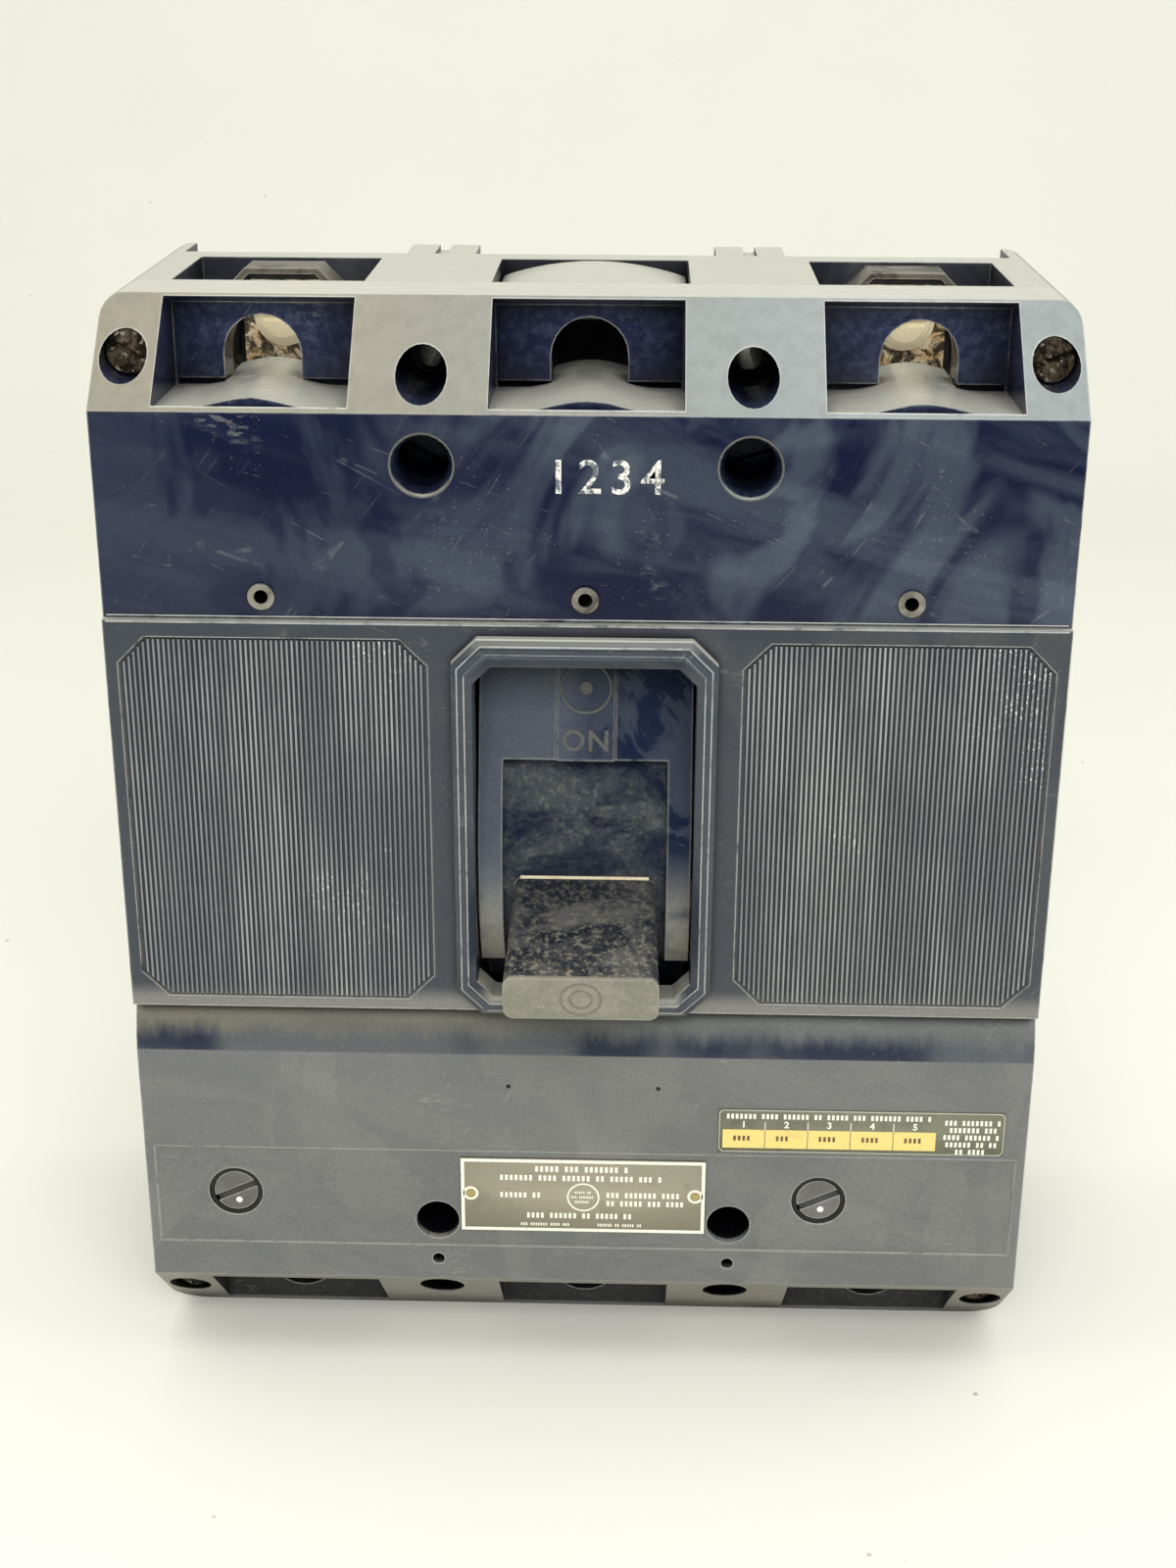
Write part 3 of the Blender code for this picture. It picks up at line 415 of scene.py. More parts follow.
def painted_shoulder_shading(look, body, front, foot, top):
    """Painted light on the rounded shoulder: a tan painted highlight along its upper part, worn in
    patches, a dark navy band above its foot that is partly painted reflection and partly smudges,
    and painted shadow under the overhang at its top.
    """
    height = look.height()
    on = look.times(look.rise(height, foot - 0.1, 0.2), front)
    right = look.rise(look.across(), -50.0, 80.0)
    # Tan painted highlight along the shoulder's upper part.
    tan = look.blend(right, (0.175, 0.165, 0.125), (0.15, 0.155, 0.148))
    worn = look.patches(0.3, 0.7, 90.0, 5.0, (0.4, 1.0, 1.0))
    tan = look.over(tan, (worn, 0.5), (0.095, 0.1, 0.1))
    ragged = look.noise(150.0, 7.0, (1.0, 1.0, 0.15), rough=0.75)
    reach = look.plain("ADD", height, look.plain("MULTIPLY", ragged, 9.0 * MM))
    low = look.less(look.rise(reach, foot + 6.5, 5.5))
    # The dark band above the foot: painted reflection, broken into smudgy patches.
    patches = look.patches(0.47, 0.62, 21.0, 3.0, (1.0, 1.0, 0.1))
    navy = look.blend(patches, (0.075, 0.085, 0.1), (0.012, 0.018, 0.042))
    dirt_and_shading = look.blend(look.times(low, look.scale_to(patches, 0.75, 1.0)), tan, navy)
    # Painted shadow under the overhang at the shoulder's top.
    shade = look.rise(height, top - 2.4, 2.1)
    dirt_and_shading = look.over(dirt_and_shading, (shade, 0.85), (0.018, 0.02, 0.028))
    return look.blend(look.times(on, 0.95), body, dirt_and_shading)


def plate_wear_and_reflection(name):
    """The slot plate: glossy navy, blotched above, pale down its legs as a painted reflection of
    the floor, and pale along its edges, partly wear and partly a painted highlight.
    """
    look = Look(name, specular=0.4)
    blotch = look.patches(0.46, 0.6, 60.0, 7.0, warp=1.5, rough=0.68)
    left = look.less(look.rise(look.across(), -8.0, 16.0))
    greyed = look.times(look.math("MAXIMUM", left, look.times(blotch, 0.45)), 0.85)
    body = look.blend(greyed, (0.009, 0.016, 0.042), (0.088, 0.103, 0.128))
    # Painted reflection: the plate's lower legs, turning down, take the pale floor's colour.
    patchy_mask = look.times(look.less(look.rise(look.height(), 113.0, 23.0)),
                        look.patches(0.2, 0.5, 140.0, 6.0, (0.5, 1.0, 1.0)))
    body = look.over(body, (patchy_mask, 0.85), (0.34, 0.33, 0.28))
    # Edges painted pale: partly wear, partly a painted highlight.
    edge = look.worn_and_lit_edges((0.9, 0.008, 0.18), 260.0, 0.22, 0.5)
    body = look.over(body, (edge, 0.8), (0.36, 0.35, 0.3))
    grain = look.patches(0.35, 0.65, 2400.0, 3.0, rough=0.7)
    body = look.over(body, (grain, 0.3), PITCH_BLACK)
    look.bump(blotch, 0.03)
    look.bump(look.noise(900.0, 3.0), 0.01)
    return look.finish(body, look.scale_to(blotch, 0.2, 0.42))


def grime_and_tip_reflection(name, pivot):
    """The handle: black molding caked with hand dirt, its tip painted pale as a reflection of the
    floor.
    """
    look = Look(name, specular=0.42)
    offset = look.add("VectorMath", {0: look.place, 1: pivot}, operation="SUBTRACT").outputs[0]
    plane = look.add("VectorMath", {0: offset, 1: (0.0, 1.0, 1.0)},
                     operation="MULTIPLY").outputs[0]
    reach = look.add("VectorMath", {0: plane}, operation="LENGTH").outputs["Value"]
    out = look.rise(reach, SHIELD_END, 0.8)
    tip = look.rise(reach, TIP_START, 0.7)
    patch = look.patches(0.4, 0.62, 80.0, 9.0, (0.8, 1.0, 1.3), warp=0.6, rough=0.72)
    fleck = look.patches(0.48, 0.6, 620.0, 7.0, rough=0.75)
    shield = look.blend(look.times(patch, 0.75), (0.005, 0.009, 0.024), (0.052, 0.06, 0.066))
    shield = look.over(shield, (patch, fleck, 0.5), (0.14, 0.14, 0.12))
    grip = look.blend(look.times(patch, 0.8), (0.01, 0.012, 0.018), (0.085, 0.083, 0.075))
    worn_low = look.rise(reach, 54.0, 21.0)
    crumbs = look.times(fleck, look.scale_to(worn_low, 0.35, 1.0))
    grip = look.over(grip, (crumbs, 0.75), (0.24, 0.22, 0.165))
    # Painted reflection of the pale floor on the tip, which turns down towards it.
    face = look.blend(look.times(patch, 0.4), (0.235, 0.225, 0.175), (0.15, 0.145, 0.115))
    body = look.blend(out, shield, grip)
    body = look.blend(tip, body, face)
    edge_wear_and_highlight = look.worn_and_lit_edges((0.6,), 200.0, 0.25, 0.55)
    body = look.over(body, (edge_wear_and_highlight, 0.8), (0.5, 0.45, 0.32))
    white = look.specks(330.0, 0.12, 0.6)
    body = look.over(body, (white, out), (0.75, 0.74, 0.7))
    look.bump(patch, 0.06)
    look.bump(fleck, 0.05)
    return look.finish(body, look.scale_to(patch, 0.25, 0.6))


def rusted(name):
    """A dirty screw head down its hole: dark, speckled with rust and bright metal."""
    look = Look(name, metallic=0.6)
    crust = look.patches(0.42, 0.56, 260.0, 8.0, warp=0.8, rough=0.75)
    glint = look.patches(0.58, 0.66, 700.0, 5.0)
    body = look.blend(crust, (0.16, 0.12, 0.075), (0.018, 0.014, 0.011))
    body = look.blend(glint, body, (0.52, 0.47, 0.36))
    look.bump(crust, 0.12)
    return look.finish(body, look.scale_to(crust, 0.35, 0.8))


def metal(name, colour, dark, rough, grain=(1.0, 1.0, 0.08), share=0.45, relief=0.02,
          metallic=1.0, edge=None):
    """Metal with a drawn or turned grain, darker patches of tarnish and, where an edge colour is
    given, edges painted pale as a painted highlight.
    """
    look = Look(name, metallic=metallic)
    tarnish = look.patches(share, share + 0.25, 120.0, 6.0, warp=0.8)
    drawn = look.noise(900.0, 3.0, grain)
    body = look.blend(look.times(tarnish, 0.85), colour, dark)
    body = look.blend(look.scale_to(drawn, 0.0, 0.3), body, dark)
    if edge:
        # Painted highlight: edges painted pale.
        edge_wear_and_highlight = look.worn_and_lit_edges((0.45, 0.01, 0.2), 300.0, 0.25, 0.5)
        body = look.over(body, (edge_wear_and_highlight, 0.9), edge)
    gloss = look.scale_to(look.math("MAXIMUM", tarnish, look.times(drawn, 0.6)), *rough)
    look.bump(drawn, relief)
    look.bump(tarnish, 0.02)
    return look.finish(body, gloss)


def burnt_copper(name):
    """Copper that has been hot: cream and brown scale over dull metal."""
    look = Look(name, metallic=0.1)
    crust = look.patches(0.47, 0.55, 210.0, 9.0, warp=0.8, rough=0.75)
    pale = look.patches(0.4, 0.54, 110.0, 5.0, warp=0.8)
    body = look.blend(pale, (0.66, 0.46, 0.22), (0.92, 0.8, 0.54))
    body = look.over(body, (crust, 0.95), (0.02, 0.017, 0.013))
    look.bump(crust, 0.2)
    look.bump(look.noise(1100.0, 4.0), 0.05)
    return look.finish(body, look.scale_to(crust, 0.4, 0.85))


def fibre(name):
    """Laid reddish-brown fibre board."""
    look = Look(name, specular=0.3)
    laid = look.noise(800.0, 4.0, (0.1, 1.0, 1.0))
    body = look.blend(laid, (0.16, 0.05, 0.025), (0.3, 0.12, 0.06))
    look.bump(laid, 0.04)
    return look.finish(body, look.scale_to(laid, 0.6, 0.85))


def printed(name, colour, stain, rough, metallic=0.0, share=0.5):
    """Ink or foil, thin, with stains and pinholes worn in it."""
    look = Look(name, metallic=metallic)
    dirt_and_shading = look.patches(share, share + 0.22, 150.0, 6.0, warp=0.6, rough=0.65)
    worn = look.patches(0.6, 0.68, 1300.0, 3.0)
    body = look.blend(look.times(dirt_and_shading, 0.7), colour, stain)
    body = look.over(body, (worn, 0.6), stain)
    look.bump(look.noise(1500.0, 3.0), 0.006)
    return look.finish(body, look.scale_to(dirt_and_shading, *rough))


def stamped_paint(name):
    """Cream marking paint, rubbed thin over the panel."""
    look = Look(name, specular=0.3)
    patchy_mask = look.patches(0.47, 0.57, 520.0, 6.0, (1.0, 1.0, 0.7), warp=0.6, rough=0.75)
    body = look.blend(look.times(patchy_mask, 0.9), (0.7, 0.69, 0.62), (0.04, 0.05, 0.075))
    look.bump(patchy_mask, 0.02)
    return look.finish(body, look.scale_to(patchy_mask, 0.55, 0.75))


def make_looks():
    """Every material but the ribs' and the setting's, by short name."""
    navy, navy_haze = (0.003, 0.006, 0.03), (0.062, 0.079, 0.11)
    return {
        "base": molded("base_phenolic", (0.016, 0.02, 0.034), (0.06, 0.062, 0.065), (0.35, 0.6)),
        "cover": molded("cover_phenolic", (0.036, 0.043, 0.055), (0.062, 0.068, 0.074),
            (0.26, 0.48), upper=(PANEL_STEP, navy, navy_haze), dirty_foot=(98.5, 103.5),
            painted_shade_depth=0.88, shaded_walls=((0.014, 0.018, 0.05), (0.04, 0.05, 0.1))),
        "lower": molded("lower_phenolic", (0.14, 0.143, 0.139), (0.188, 0.187, 0.175),
            (0.36, 0.55), specular=0.35, shoulder=(85.5, 96.9),
            shaded_walls=((0.006, 0.006, 0.008), (0.028, 0.025, 0.024)), dusty_walls=False),
        # The bezel's pale edges: partly wear, partly a painted highlight along its ridges.
        "bezel": molded("bezel_phenolic", (0.032, 0.04, 0.056), (0.06, 0.068, 0.08), (0.22, 0.42),
            specular=0.5, edge=(0.66, 0.67, 0.62), painted_shade_depth=0.45, level=(0.4, 0.7)),
        "tip_ring": printed("tip_ring_wear", (0.15, 0.14, 0.105), (0.09, 0.085, 0.07), (0.4, 0.6)),
        "plate": plate_wear_and_reflection("slot_plate_phenolic"),
        "handle": grime_and_tip_reflection("handle_grime_and_reflection", handle_pivot()),
        "bar": molded("bar_phenolic", (0.03, 0.02, 0.016), (0.05, 0.035, 0.03), (0.4, 0.6)),
        "knob": molded("knob_molding", (0.098, 0.096, 0.093), (0.15, 0.145, 0.138), (0.32, 0.5)),
        "filler": molded("filler_molding_grey", (0.36, 0.36, 0.31), (0.44, 0.44, 0.38),
            (0.45, 0.65)),
        "fibre": fibre("vulcanised_fibre"),
        "plated": metal("plated_steel_dull", (0.66, 0.64, 0.58), (0.13, 0.11, 0.09), (0.28, 0.6)),
        # Cover screws: dark steel, made darker still as painted shade, as they sit deep in their
        # holes.
        "black_steel": metal("dark_steel_and_painted_shade", (0.035, 0.042, 0.06), (0.012, 0.012, 0.016),
            (0.2, 0.5)),
        "rusted": rusted("rusted_screw_head"),
        "spring": metal("spring_steel_oiled", (0.32, 0.31, 0.3), (0.08, 0.075, 0.07), (0.25, 0.5)),
        "copper": burnt_copper("terminal_copper"),
        "bright_copper": metal("strip_copper", (0.72, 0.36, 0.2), (0.22, 0.1, 0.06), (0.25, 0.55)),
        # The pale edges of the brass, the rivets and the collars are a painted highlight.
        "brass": metal("screw_brass", (0.95, 0.86, 0.6), (0.55, 0.4, 0.18), (0.25, 0.5),
            (1.0, 1.0, 1.0), 0.62, metallic=0.35, edge=(1.0, 0.95, 0.78)),
        "rivet": metal("rivet_brass", (0.42, 0.345, 0.135), (0.2, 0.155, 0.06), (0.3, 0.5),
            (1.0, 1.0, 1.0), 0.62, metallic=0.35, edge=(0.6, 0.52, 0.3)),
        "collar": metal("collar_aluminium", (0.16, 0.145, 0.115), (0.04, 0.036, 0.03), (0.35, 0.6),
            share=0.42, metallic=0.5, edge=(0.85, 0.8, 0.66)),
        "film": printed("label_film_brown", (0.175, 0.172, 0.115), (0.11, 0.11, 0.085),
            (0.3, 0.55)),
        "plaque": printed("nameplate_bronze", (0.31, 0.284, 0.2), (0.2, 0.18, 0.13), (0.35, 0.55),
            0.1, 0.55),
        "cream": printed("cream_ink", (0.8, 0.78, 0.64), (0.42, 0.38, 0.27), (0.4, 0.6),
            share=0.6),
        "yellow": printed("yellow_foil", (0.76, 0.575, 0.185), (0.52, 0.36, 0.12), (0.4, 0.6),
            share=0.58),
        "ink": printed("dark_ink", (0.1, 0.07, 0.03), (0.2, 0.14, 0.06), (0.5, 0.7)),
        "paint": stamped_paint("stamped_marking"),
        "tan_wear": printed("worn_tan", (0.62, 0.54, 0.36), (0.3, 0.24, 0.15), (0.45, 0.65)),
        "mark": printed("molded_mark", (0.094, 0.095, 0.086), (0.04, 0.045, 0.052), (0.35, 0.55)),
        "white_dot": printed("white_dot_paint", (0.8, 0.78, 0.7), (0.5, 0.45, 0.38), (0.5, 0.7)),
        # Black for the drive pins, and as painted shade in the knobs' wells.
        "black": printed("black_and_painted_shade", (0.003, 0.003, 0.004), (0.008, 0.007, 0.006), (0.5, 0.8)),
    }


# Which CAD nodes wear each look, by how their names start
WEARERS = {
    "base": "base", "cover": "front_cover", "lower": "trip_cover", "bezel": "handle_bezel",
    "plate": "slot_plate", "handle": "operating_handle", "bar": "crossbar trip_bar",
    "plated": "handle_yoke mechanism_side_plate cradle upper_toggle_link "
              "lower_toggle_link cover_eyelet",
    "spring": "main_spring arc_chute_plates magnet_core armature",
    "bright_copper": "contact_arm flex_braid", "copper": "line_conductor load_conductor",
    "collar": "line_collar load_collar",
    "brass": "line_terminal_screw load_terminal_screw bimetal", "fibre": "arc_chute_frame",
    "plaque": "nameplate", "film": "setting_label", "knob": "trip_setting_knob",
    "filler": "center_pole_filler", "black_steel": "upper_cover_screw lower_cover_screw",
    "rusted": "upper_edge_screw lower_edge_screw",
}
NODE_LOOKS = {start: look for look, starts in WEARERS.items() for start in starts.split()}
# Edge rounding of the molded nodes, in millimetres; the others take the small default
SOFT_EDGES = {"base": 0.5, "front_cover": 0.45, "trip_cover": 0.6, "handle_bezel": 0.35,
              "slot_plate": 0.5, "operating_handle": 0.7, "center_pole_filler": 0.5,
              "crossbar": 0.5}
SMALL_EDGE = 0.12
FLAT_NODES = ("nameplate", "setting_label")


def dress_nodes(looks):
    """Gives each CAD node its material and rounds its edges, without moving a point."""
    for name, node in frame["nodes"].items():
        start = max((key for key in NODE_LOOKS if name.startswith(key)), key=len)
        material = looks[NODE_LOOKS[start]]
        for slot in node.material_slots:
            slot.material = material
        custom = node.data.attributes.get("custom_normal")
        if custom:
            node.data.attributes.remove(custom)
        weld = node.modifiers.new("join", "WELD")
        weld.merge_threshold = 1e-6
        flat = node.modifiers.new("flat faces", "DECIMATE")
        flat.decimate_type = "DISSOLVE"
        flat.angle_limit = radians(0.5)
        if start not in FLAT_NODES:
            soften(node, SOFT_EDGES.get(start, SMALL_EDGE))
        node.data.shade_smooth()


def soften(piece, width):
    """Rounds a piece's edges by a bevel, its width in millimetres."""
    bevel = piece.modifiers.new("soft edges", "BEVEL")
    bevel.width = width * MM
    bevel.segments = 2
    bevel.limit_method = "ANGLE"
    bevel.angle_limit = radians(32)
    bevel.harden_normals = True
    bevel.use_clamp_overlap = True


# ---- shapes
def add_object(name, data):
    """A new object in the scene."""
    made = bpy.data.objects.new(name, data)
    bpy.context.scene.collection.objects.link(made)
    return made


def piece_from(name, shape, look, body="case", soft=0.0, smooth=False):
    """A piece from a bmesh in layout millimetres, riding on a CAD body."""
    for vert in shape.verts:
        vert.co = at(*vert.co)
    bmesh.ops.recalc_face_normals(shape, faces=shape.faces)
    mesh = bpy.data.meshes.new(name)
    shape.to_mesh(mesh)
    shape.free()
    piece = add_object(name, mesh)
    mesh.materials.append(look)
    if soft:
        soften(piece, soft)
    if soft or smooth:
        mesh.shade_smooth()
    if smooth:
        mesh.set_sharp_from_angle(angle=radians(40))
    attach(piece, body)
    return piece


def add_prism(shape, outline, low, high):
    """Adds an (x, z) outline extruded from y low to y high."""
    join_ends(shape, [[shape.verts.new((u, y, v)) for u, v in outline] for y in (low, high)])


def add_bar(shape, x, z, low, high):
    """Adds an upright block between two x, two z and two y."""
    add_prism(shape, [(x[0], z[0]), (x[1], z[0]), (x[1], z[1]), (x[0], z[1])], low, high)


def chamfered(half_x, half_z, corner, centre=(0.0, 0.0)):
    """A rectangle's (x, z) outline with its corners cut off."""
    near = [(half_x, half_z - corner), (half_x - corner, half_z)]
    points = []
    for (sx, sz), order in (((1, 1), 1), ((-1, 1), -1), ((-1, -1), 1), ((1, -1), -1)):
        points += [(centre[0] + sx * u, centre[1] + sz * v) for u, v in near[::order]]
    return points


def join_rows(shape, near, far):
    """Closes the gap between two rings of equal count."""
    for j in range(len(near)):
        k = (j + 1) % len(near)
        shape.faces.new((near[j], near[k], far[k], far[j]))


def join_rings(shape, rings):
    """Joins closed rings of equal count, each to the next and the last to the first."""
    for i, ring in enumerate(rings):
        join_rows(shape, ring, rings[(i + 1) % len(rings)])


def join_ends(shape, ends):
    """Closes a prism between two rings of equal count."""
    shape.faces.new(ends[0])
    shape.faces.new(reversed(ends[1]))
    for j in range(len(ends[0])):
        k = (j + 1) % len(ends[0])
        shape.faces.new((ends[0][j], ends[1][j], ends[1][k], ends[0][k]))


def circle(centre, radius, sides=32):
    """A circle's (x, z) outline."""
    return [(centre[0] + radius * cos(2 * pi * i / sides),
             centre[1] + radius * sin(2 * pi * i / sides)) for i in range(sides)]


def add_band(shape, outer, inner, low, high):
    """Adds a closed band between two outlines of equal count, from y low to high."""
    join_rings(shape, [[shape.verts.new((u, y, v)) for u, v in line] for line, y in
                       ((outer, high), (outer, low), (inner, low), (inner, high))])


def add_dome(shape, centre, radius, base, rise, sides=24, steps=4):
    """Adds a low domed head, its foot at y base and its crown rise further forward."""
    rings = []
    for i in range(steps):
        share = i / steps
        wide = radius * cos(share * pi / 2)
        y = base - rise * sin(share * pi / 2)
        rings.append([shape.verts.new((u, y, v)) for u, v in circle(centre, wide, sides)])
    crown = shape.verts.new((centre[0], base - rise, centre[1]))
    shape.faces.new(rings[0])
    for near, far in zip(rings, rings[1:]):
        join_rows(shape, near, far)
    for j in range(sides):
        shape.faces.new((rings[-1][j], rings[-1][(j + 1) % sides], crown))


def add_tube(shape, path, radius, sides=8, capped=True):
    """Adds a round tube along a list of points, turning its rings without twist."""
    points = [Vector(p) for p in path]
    normal = Vector((0.0, 0.0, 1.0))
    rings = []
    for i, point in enumerate(points):
        ahead = points[min(i + 1, len(points) - 1)] - points[max(i - 1, 0)]
        ahead.normalize()
        normal = normal - ahead * normal.dot(ahead)
        if normal.length < 1e-6:
            normal = ahead.orthogonal()
        normal.normalize()
        side = ahead.cross(normal)
        rings.append([shape.verts.new(point + radius * (cos(t) * normal + sin(t) * side))
                      for t in (2 * pi * k / sides for k in range(sides))])
    for near, far in zip(rings, rings[1:]):
        join_rows(shape, near, far)
    if capped:
        shape.faces.new(rings[0])
        shape.faces.new(reversed(rings[-1]))


def lettering(name, words, size, place, depth, look, body="case", turn=pi / 2,
              spacing=1.0, bold=0.0):
    """Generic words or numerals as thin solid letters, sizes in millimetres."""
    curve = bpy.data.curves.new(name, "FONT")
    curve.body = words
    curve.size = size * MM
    curve.align_x = "CENTER"
    curve.align_y = "CENTER"
    curve.space_character = spacing
    curve.extrude = depth * MM / 2
    curve.offset = bold * MM
    curve.resolution_u = 4
    source = add_object(name + "_source", curve)
    bpy.context.view_layer.update()
    mesh = bpy.data.meshes.new_from_object(source)
    bpy.data.objects.remove(source)
    mesh.transform(Matrix.Translation(at(*place)) @ Matrix.Rotation(turn, 4, "X"))
    mesh.name = name
    mesh.materials.clear()
    mesh.materials.append(look)
    piece = add_object(name, mesh)
    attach(piece, body)


# ---- covers
# The side panels' ribs, in millimetres
RIB_PITCH = 1.12
RIB_HALF = (33.3, 43.0)
RIB_CORNER = 6.0
PANEL_CENTRE = (68.2, 143.4)
PANEL_DEPTH = 0.6


def rib_panel(side, look):
    """The fine upright ribs that fill a side panel, each cut square at its ends."""
    shape = bmesh.new()
    half_x, half_z = RIB_HALF
    count = int(2 * half_x / RIB_PITCH)
    profile = [(-0.4, PANEL_DEPTH + 0.02), (-0.2, 0.06), (0.0, 0.0), (0.2, 0.06),
               (0.4, PANEL_DEPTH + 0.02)]
    for i in range(count):
        x = (i - (count - 1) / 2) * RIB_PITCH
        reach = half_z - max(0.0, abs(x) - (half_x - RIB_CORNER))
        centre = side * PANEL_CENTRE[0] + x
        join_ends(shape, [[shape.verts.new((centre + u, y, PANEL_CENTRE[1] + s * reach))
                           for u, y in profile] for s in (-1, 1)])
    name = "panel_ribs_" + ("left" if side < 0 else "right")
    piece_from(name, shape, look)


def rib_look():
    """The ribs: dark molding whose crests are rubbed grey and hold pale dirt."""
    look = Look("ribbed_phenolic", specular=0.4)
    crest = look.less(look.rise(look.along("Y"), 0.0, 0.32, FRONT))
    drift = look.patches(0.38, 0.66, 14.0, 4.0, (1.0, 1.0, 0.35))
    uneven = look.patches(0.4, 0.6, 330.0, 3.0, (1.0, 1.0, 0.035))
    body = look.blend(look.times(drift, 0.8), (0.052, 0.06, 0.074), (0.125, 0.128, 0.128))
    body = look.over(body, (uneven, 0.55), (0.02, 0.026, 0.038))
    patchy_mask = look.patches(0.36, 0.68, 60.0, 7.0, (1.0, 1.0, 0.3), rough=0.65)
    patchy_mask = look.times(patchy_mask, look.scale_to(uneven, 1.0, 0.6))
    body = look.over(body, (crest, look.scale_to(patchy_mask, 0.35, 0.95)), (0.35, 0.355, 0.345))
    patch = look.patches(0.58, 0.7, 34.0, 3.0, (1.0, 1.0, 0.6))
    flecks = look.patches(0.56, 0.64, 1300.0, 2.0)
    body = look.over(body, (patch, flecks, crest), (0.62, 0.64, 0.6))
    look.bump(look.noise(1200.0, 3.0), 0.02)
    return look.finish(body, look.scale_to(drift, 0.36, 0.6))


def cover_trim(looks):
    """The line where the top panel steps down, and the marking on that panel."""
    shape = bmesh.new()
    half = box_of("front_cover")[1].x - 0.8
    for z, radius, y in ((190.35, 0.2, 0.08), (191.35, 0.16, 1.46)):
        add_tube(shape, [(-half, y, z), (half, y, z)], radius)
    piece_from("panel_step_bead", shape, looks["bezel"], smooth=True)
    lettering("stamped_numerals", "1234", 10.4, (4.2, 1.42, 222.5), 0.08, looks["paint"],
              spacing=1.28, bold=0.08)


def screw_wells(looks):
    """Rubbed rims round the upper cover screws' wells, and pins in the lower cover."""
    rims, pins = bmesh.new(), bmesh.new()
    for s in (-1, 1):
        centre = (s * COVER_SCREW[0], COVER_SCREW[1])
        add_band(rims, circle(centre, 7.05, 48), circle(centre, 6.78, 48), 1.38, 1.52)
        add_dome(pins, (s * DRIVE_PIN[0], DRIVE_PIN[1]), 0.6, 0.02, 0.1, 12, 2)
    piece_from("cover_screw_rims", rims, looks["mark"])
    piece_from("cover_drive_pins", pins, looks["black"], smooth=True)


# ---- handle frame
def bezel_trim(looks):
    """Fine beads along the frame's ridges, which catch the light."""
    low, high = box_of("handle_bezel")
    centre = (0.0, (low.z + high.z) / 2)
    half_z = (high.z - low.z) / 2
    shape = bmesh.new()
    lines = ((chamfered(high.x - 1.41, half_z - 1.45, 5.2, centre), low.y + 0.17, 0.2),
             (chamfered(high.x - 2.91, half_z - 3.2, 4.65, centre), low.y + 0.15, 0.17))
    for line, y, radius in lines:
        add_tube(shape, [(u, y, v) for u, v in line + line[:2]], radius, capped=False)
    piece_from("bezel_edge_beads", shape, looks["bezel"], smooth=True)


def plate_front(z):
    """Where the slot plate's front lies in y at a height, in millimetres."""
    pivot_y, pivot_z = PLATE_CENTRE
    lean = radians(PLATE_LEAN)
    bend = pivot_z + PLATE_RADIUS * sin(lean)
    if z < bend:
        rise = (z - pivot_z) / PLATE_RADIUS
        return pivot_y - PLATE_RADIUS * (1 - rise * rise) ** 0.5
    return pivot_y - PLATE_RADIUS * cos(lean) + (z - bend) * sin(lean) / cos(lean)


def on_tab(shape, outline, proud):
    """New points over the tab, from (x, distance up the lean) pairs."""
    heights = [(u, TAB_FOOT + v * cos(radians(PLATE_LEAN))) for u, v in outline]
    return [shape.verts.new((u, plate_front(z) - TAB_PROUD - proud, z)) for u, z in heights]


def tab_marks(looks):
    """A plain round ring with a dot and the word ON on the tab above the handle."""
    shape = bmesh.new()
    middle, sunk, proud = (0.0, 12.8), -0.1, 0.32
    outer, inner = circle(middle, 5.9, 48), circle(middle, 5.3, 48)
    join_rings(shape, [on_tab(shape, line, y) for line, y in
                       ((outer, sunk), (outer, proud), (inner, proud), (inner, sunk))])
    dot = circle(middle, 1.5, 24)
    join_ends(shape, [on_tab(shape, dot, y) for y in (sunk, 0.22)])
    piece_from("tab_round_ring", shape, looks["mark"], soft=0.08)
    z = 160.6
    lettering("tab_word_on", "ON", 6.6, (0.0, plate_front(z) - 0.62, z), 0.35,
              looks["mark"], turn=pi / 2 - radians(PLATE_LEAN),
              spacing=1.1, bold=0.12)


def handle_marks(looks):
    """Two plain rings on the handle's tip, and the ridge where grip meets shield."""
    pivot = handle_pivot()
    turn = Matrix.Rotation(radians(HANDLE_TURN), 4, "X")
    ring, ridge = bmesh.new(), bmesh.new()
    for outer, inner in ((4.6, 4.25), (2.6, 2.3)):
        join_rings(ring, [[ring.verts.new((u, -HANDLE_REACH + y, v))
                           for u, v in circle((0.0, 0.0), radius)]
                          for radius, y in ((outer, 0.1), (outer, -0.12), (inner, -0.12),
                                            (inner, 0.1))])
    add_tube(ridge, [(-14.6, -45.35, 9.4), (14.6, -45.35, 9.4)], 0.42)
    for name, shape, look in (("handle_tip_rings", ring, "tip_ring"),
                              ("handle_root_ridge", ridge, "tan_wear")):
        for vert in shape.verts:
            world = pivot + turn @ (vert.co * MM)
            vert.co = (world.x / MM, (world.y - FRONT) / MM, world.z / MM)
        piece_from(name, shape, looks[look], "handle", smooth=True)


# ---- plates
def greeked(shape, x, z, height, seed, low, high):
    """A row of letter-sized blocks in words of uneven length, standing for print."""
    words = (5, 3, 7, 4, 6, 2)
    letter, gap = 0.46 * height, 0.34 * height
    place, i, end = x[0], seed, x[1] + 0.01
    while place + letter <= end:
        for _ in range(words[i % len(words)]):
            if place + letter > end:
                break
            add_bar(shape, (place, place + letter), (z - height / 2, z + height / 2), low, high)
            place += letter + gap
        place += 2.2 * gap
        i += 1


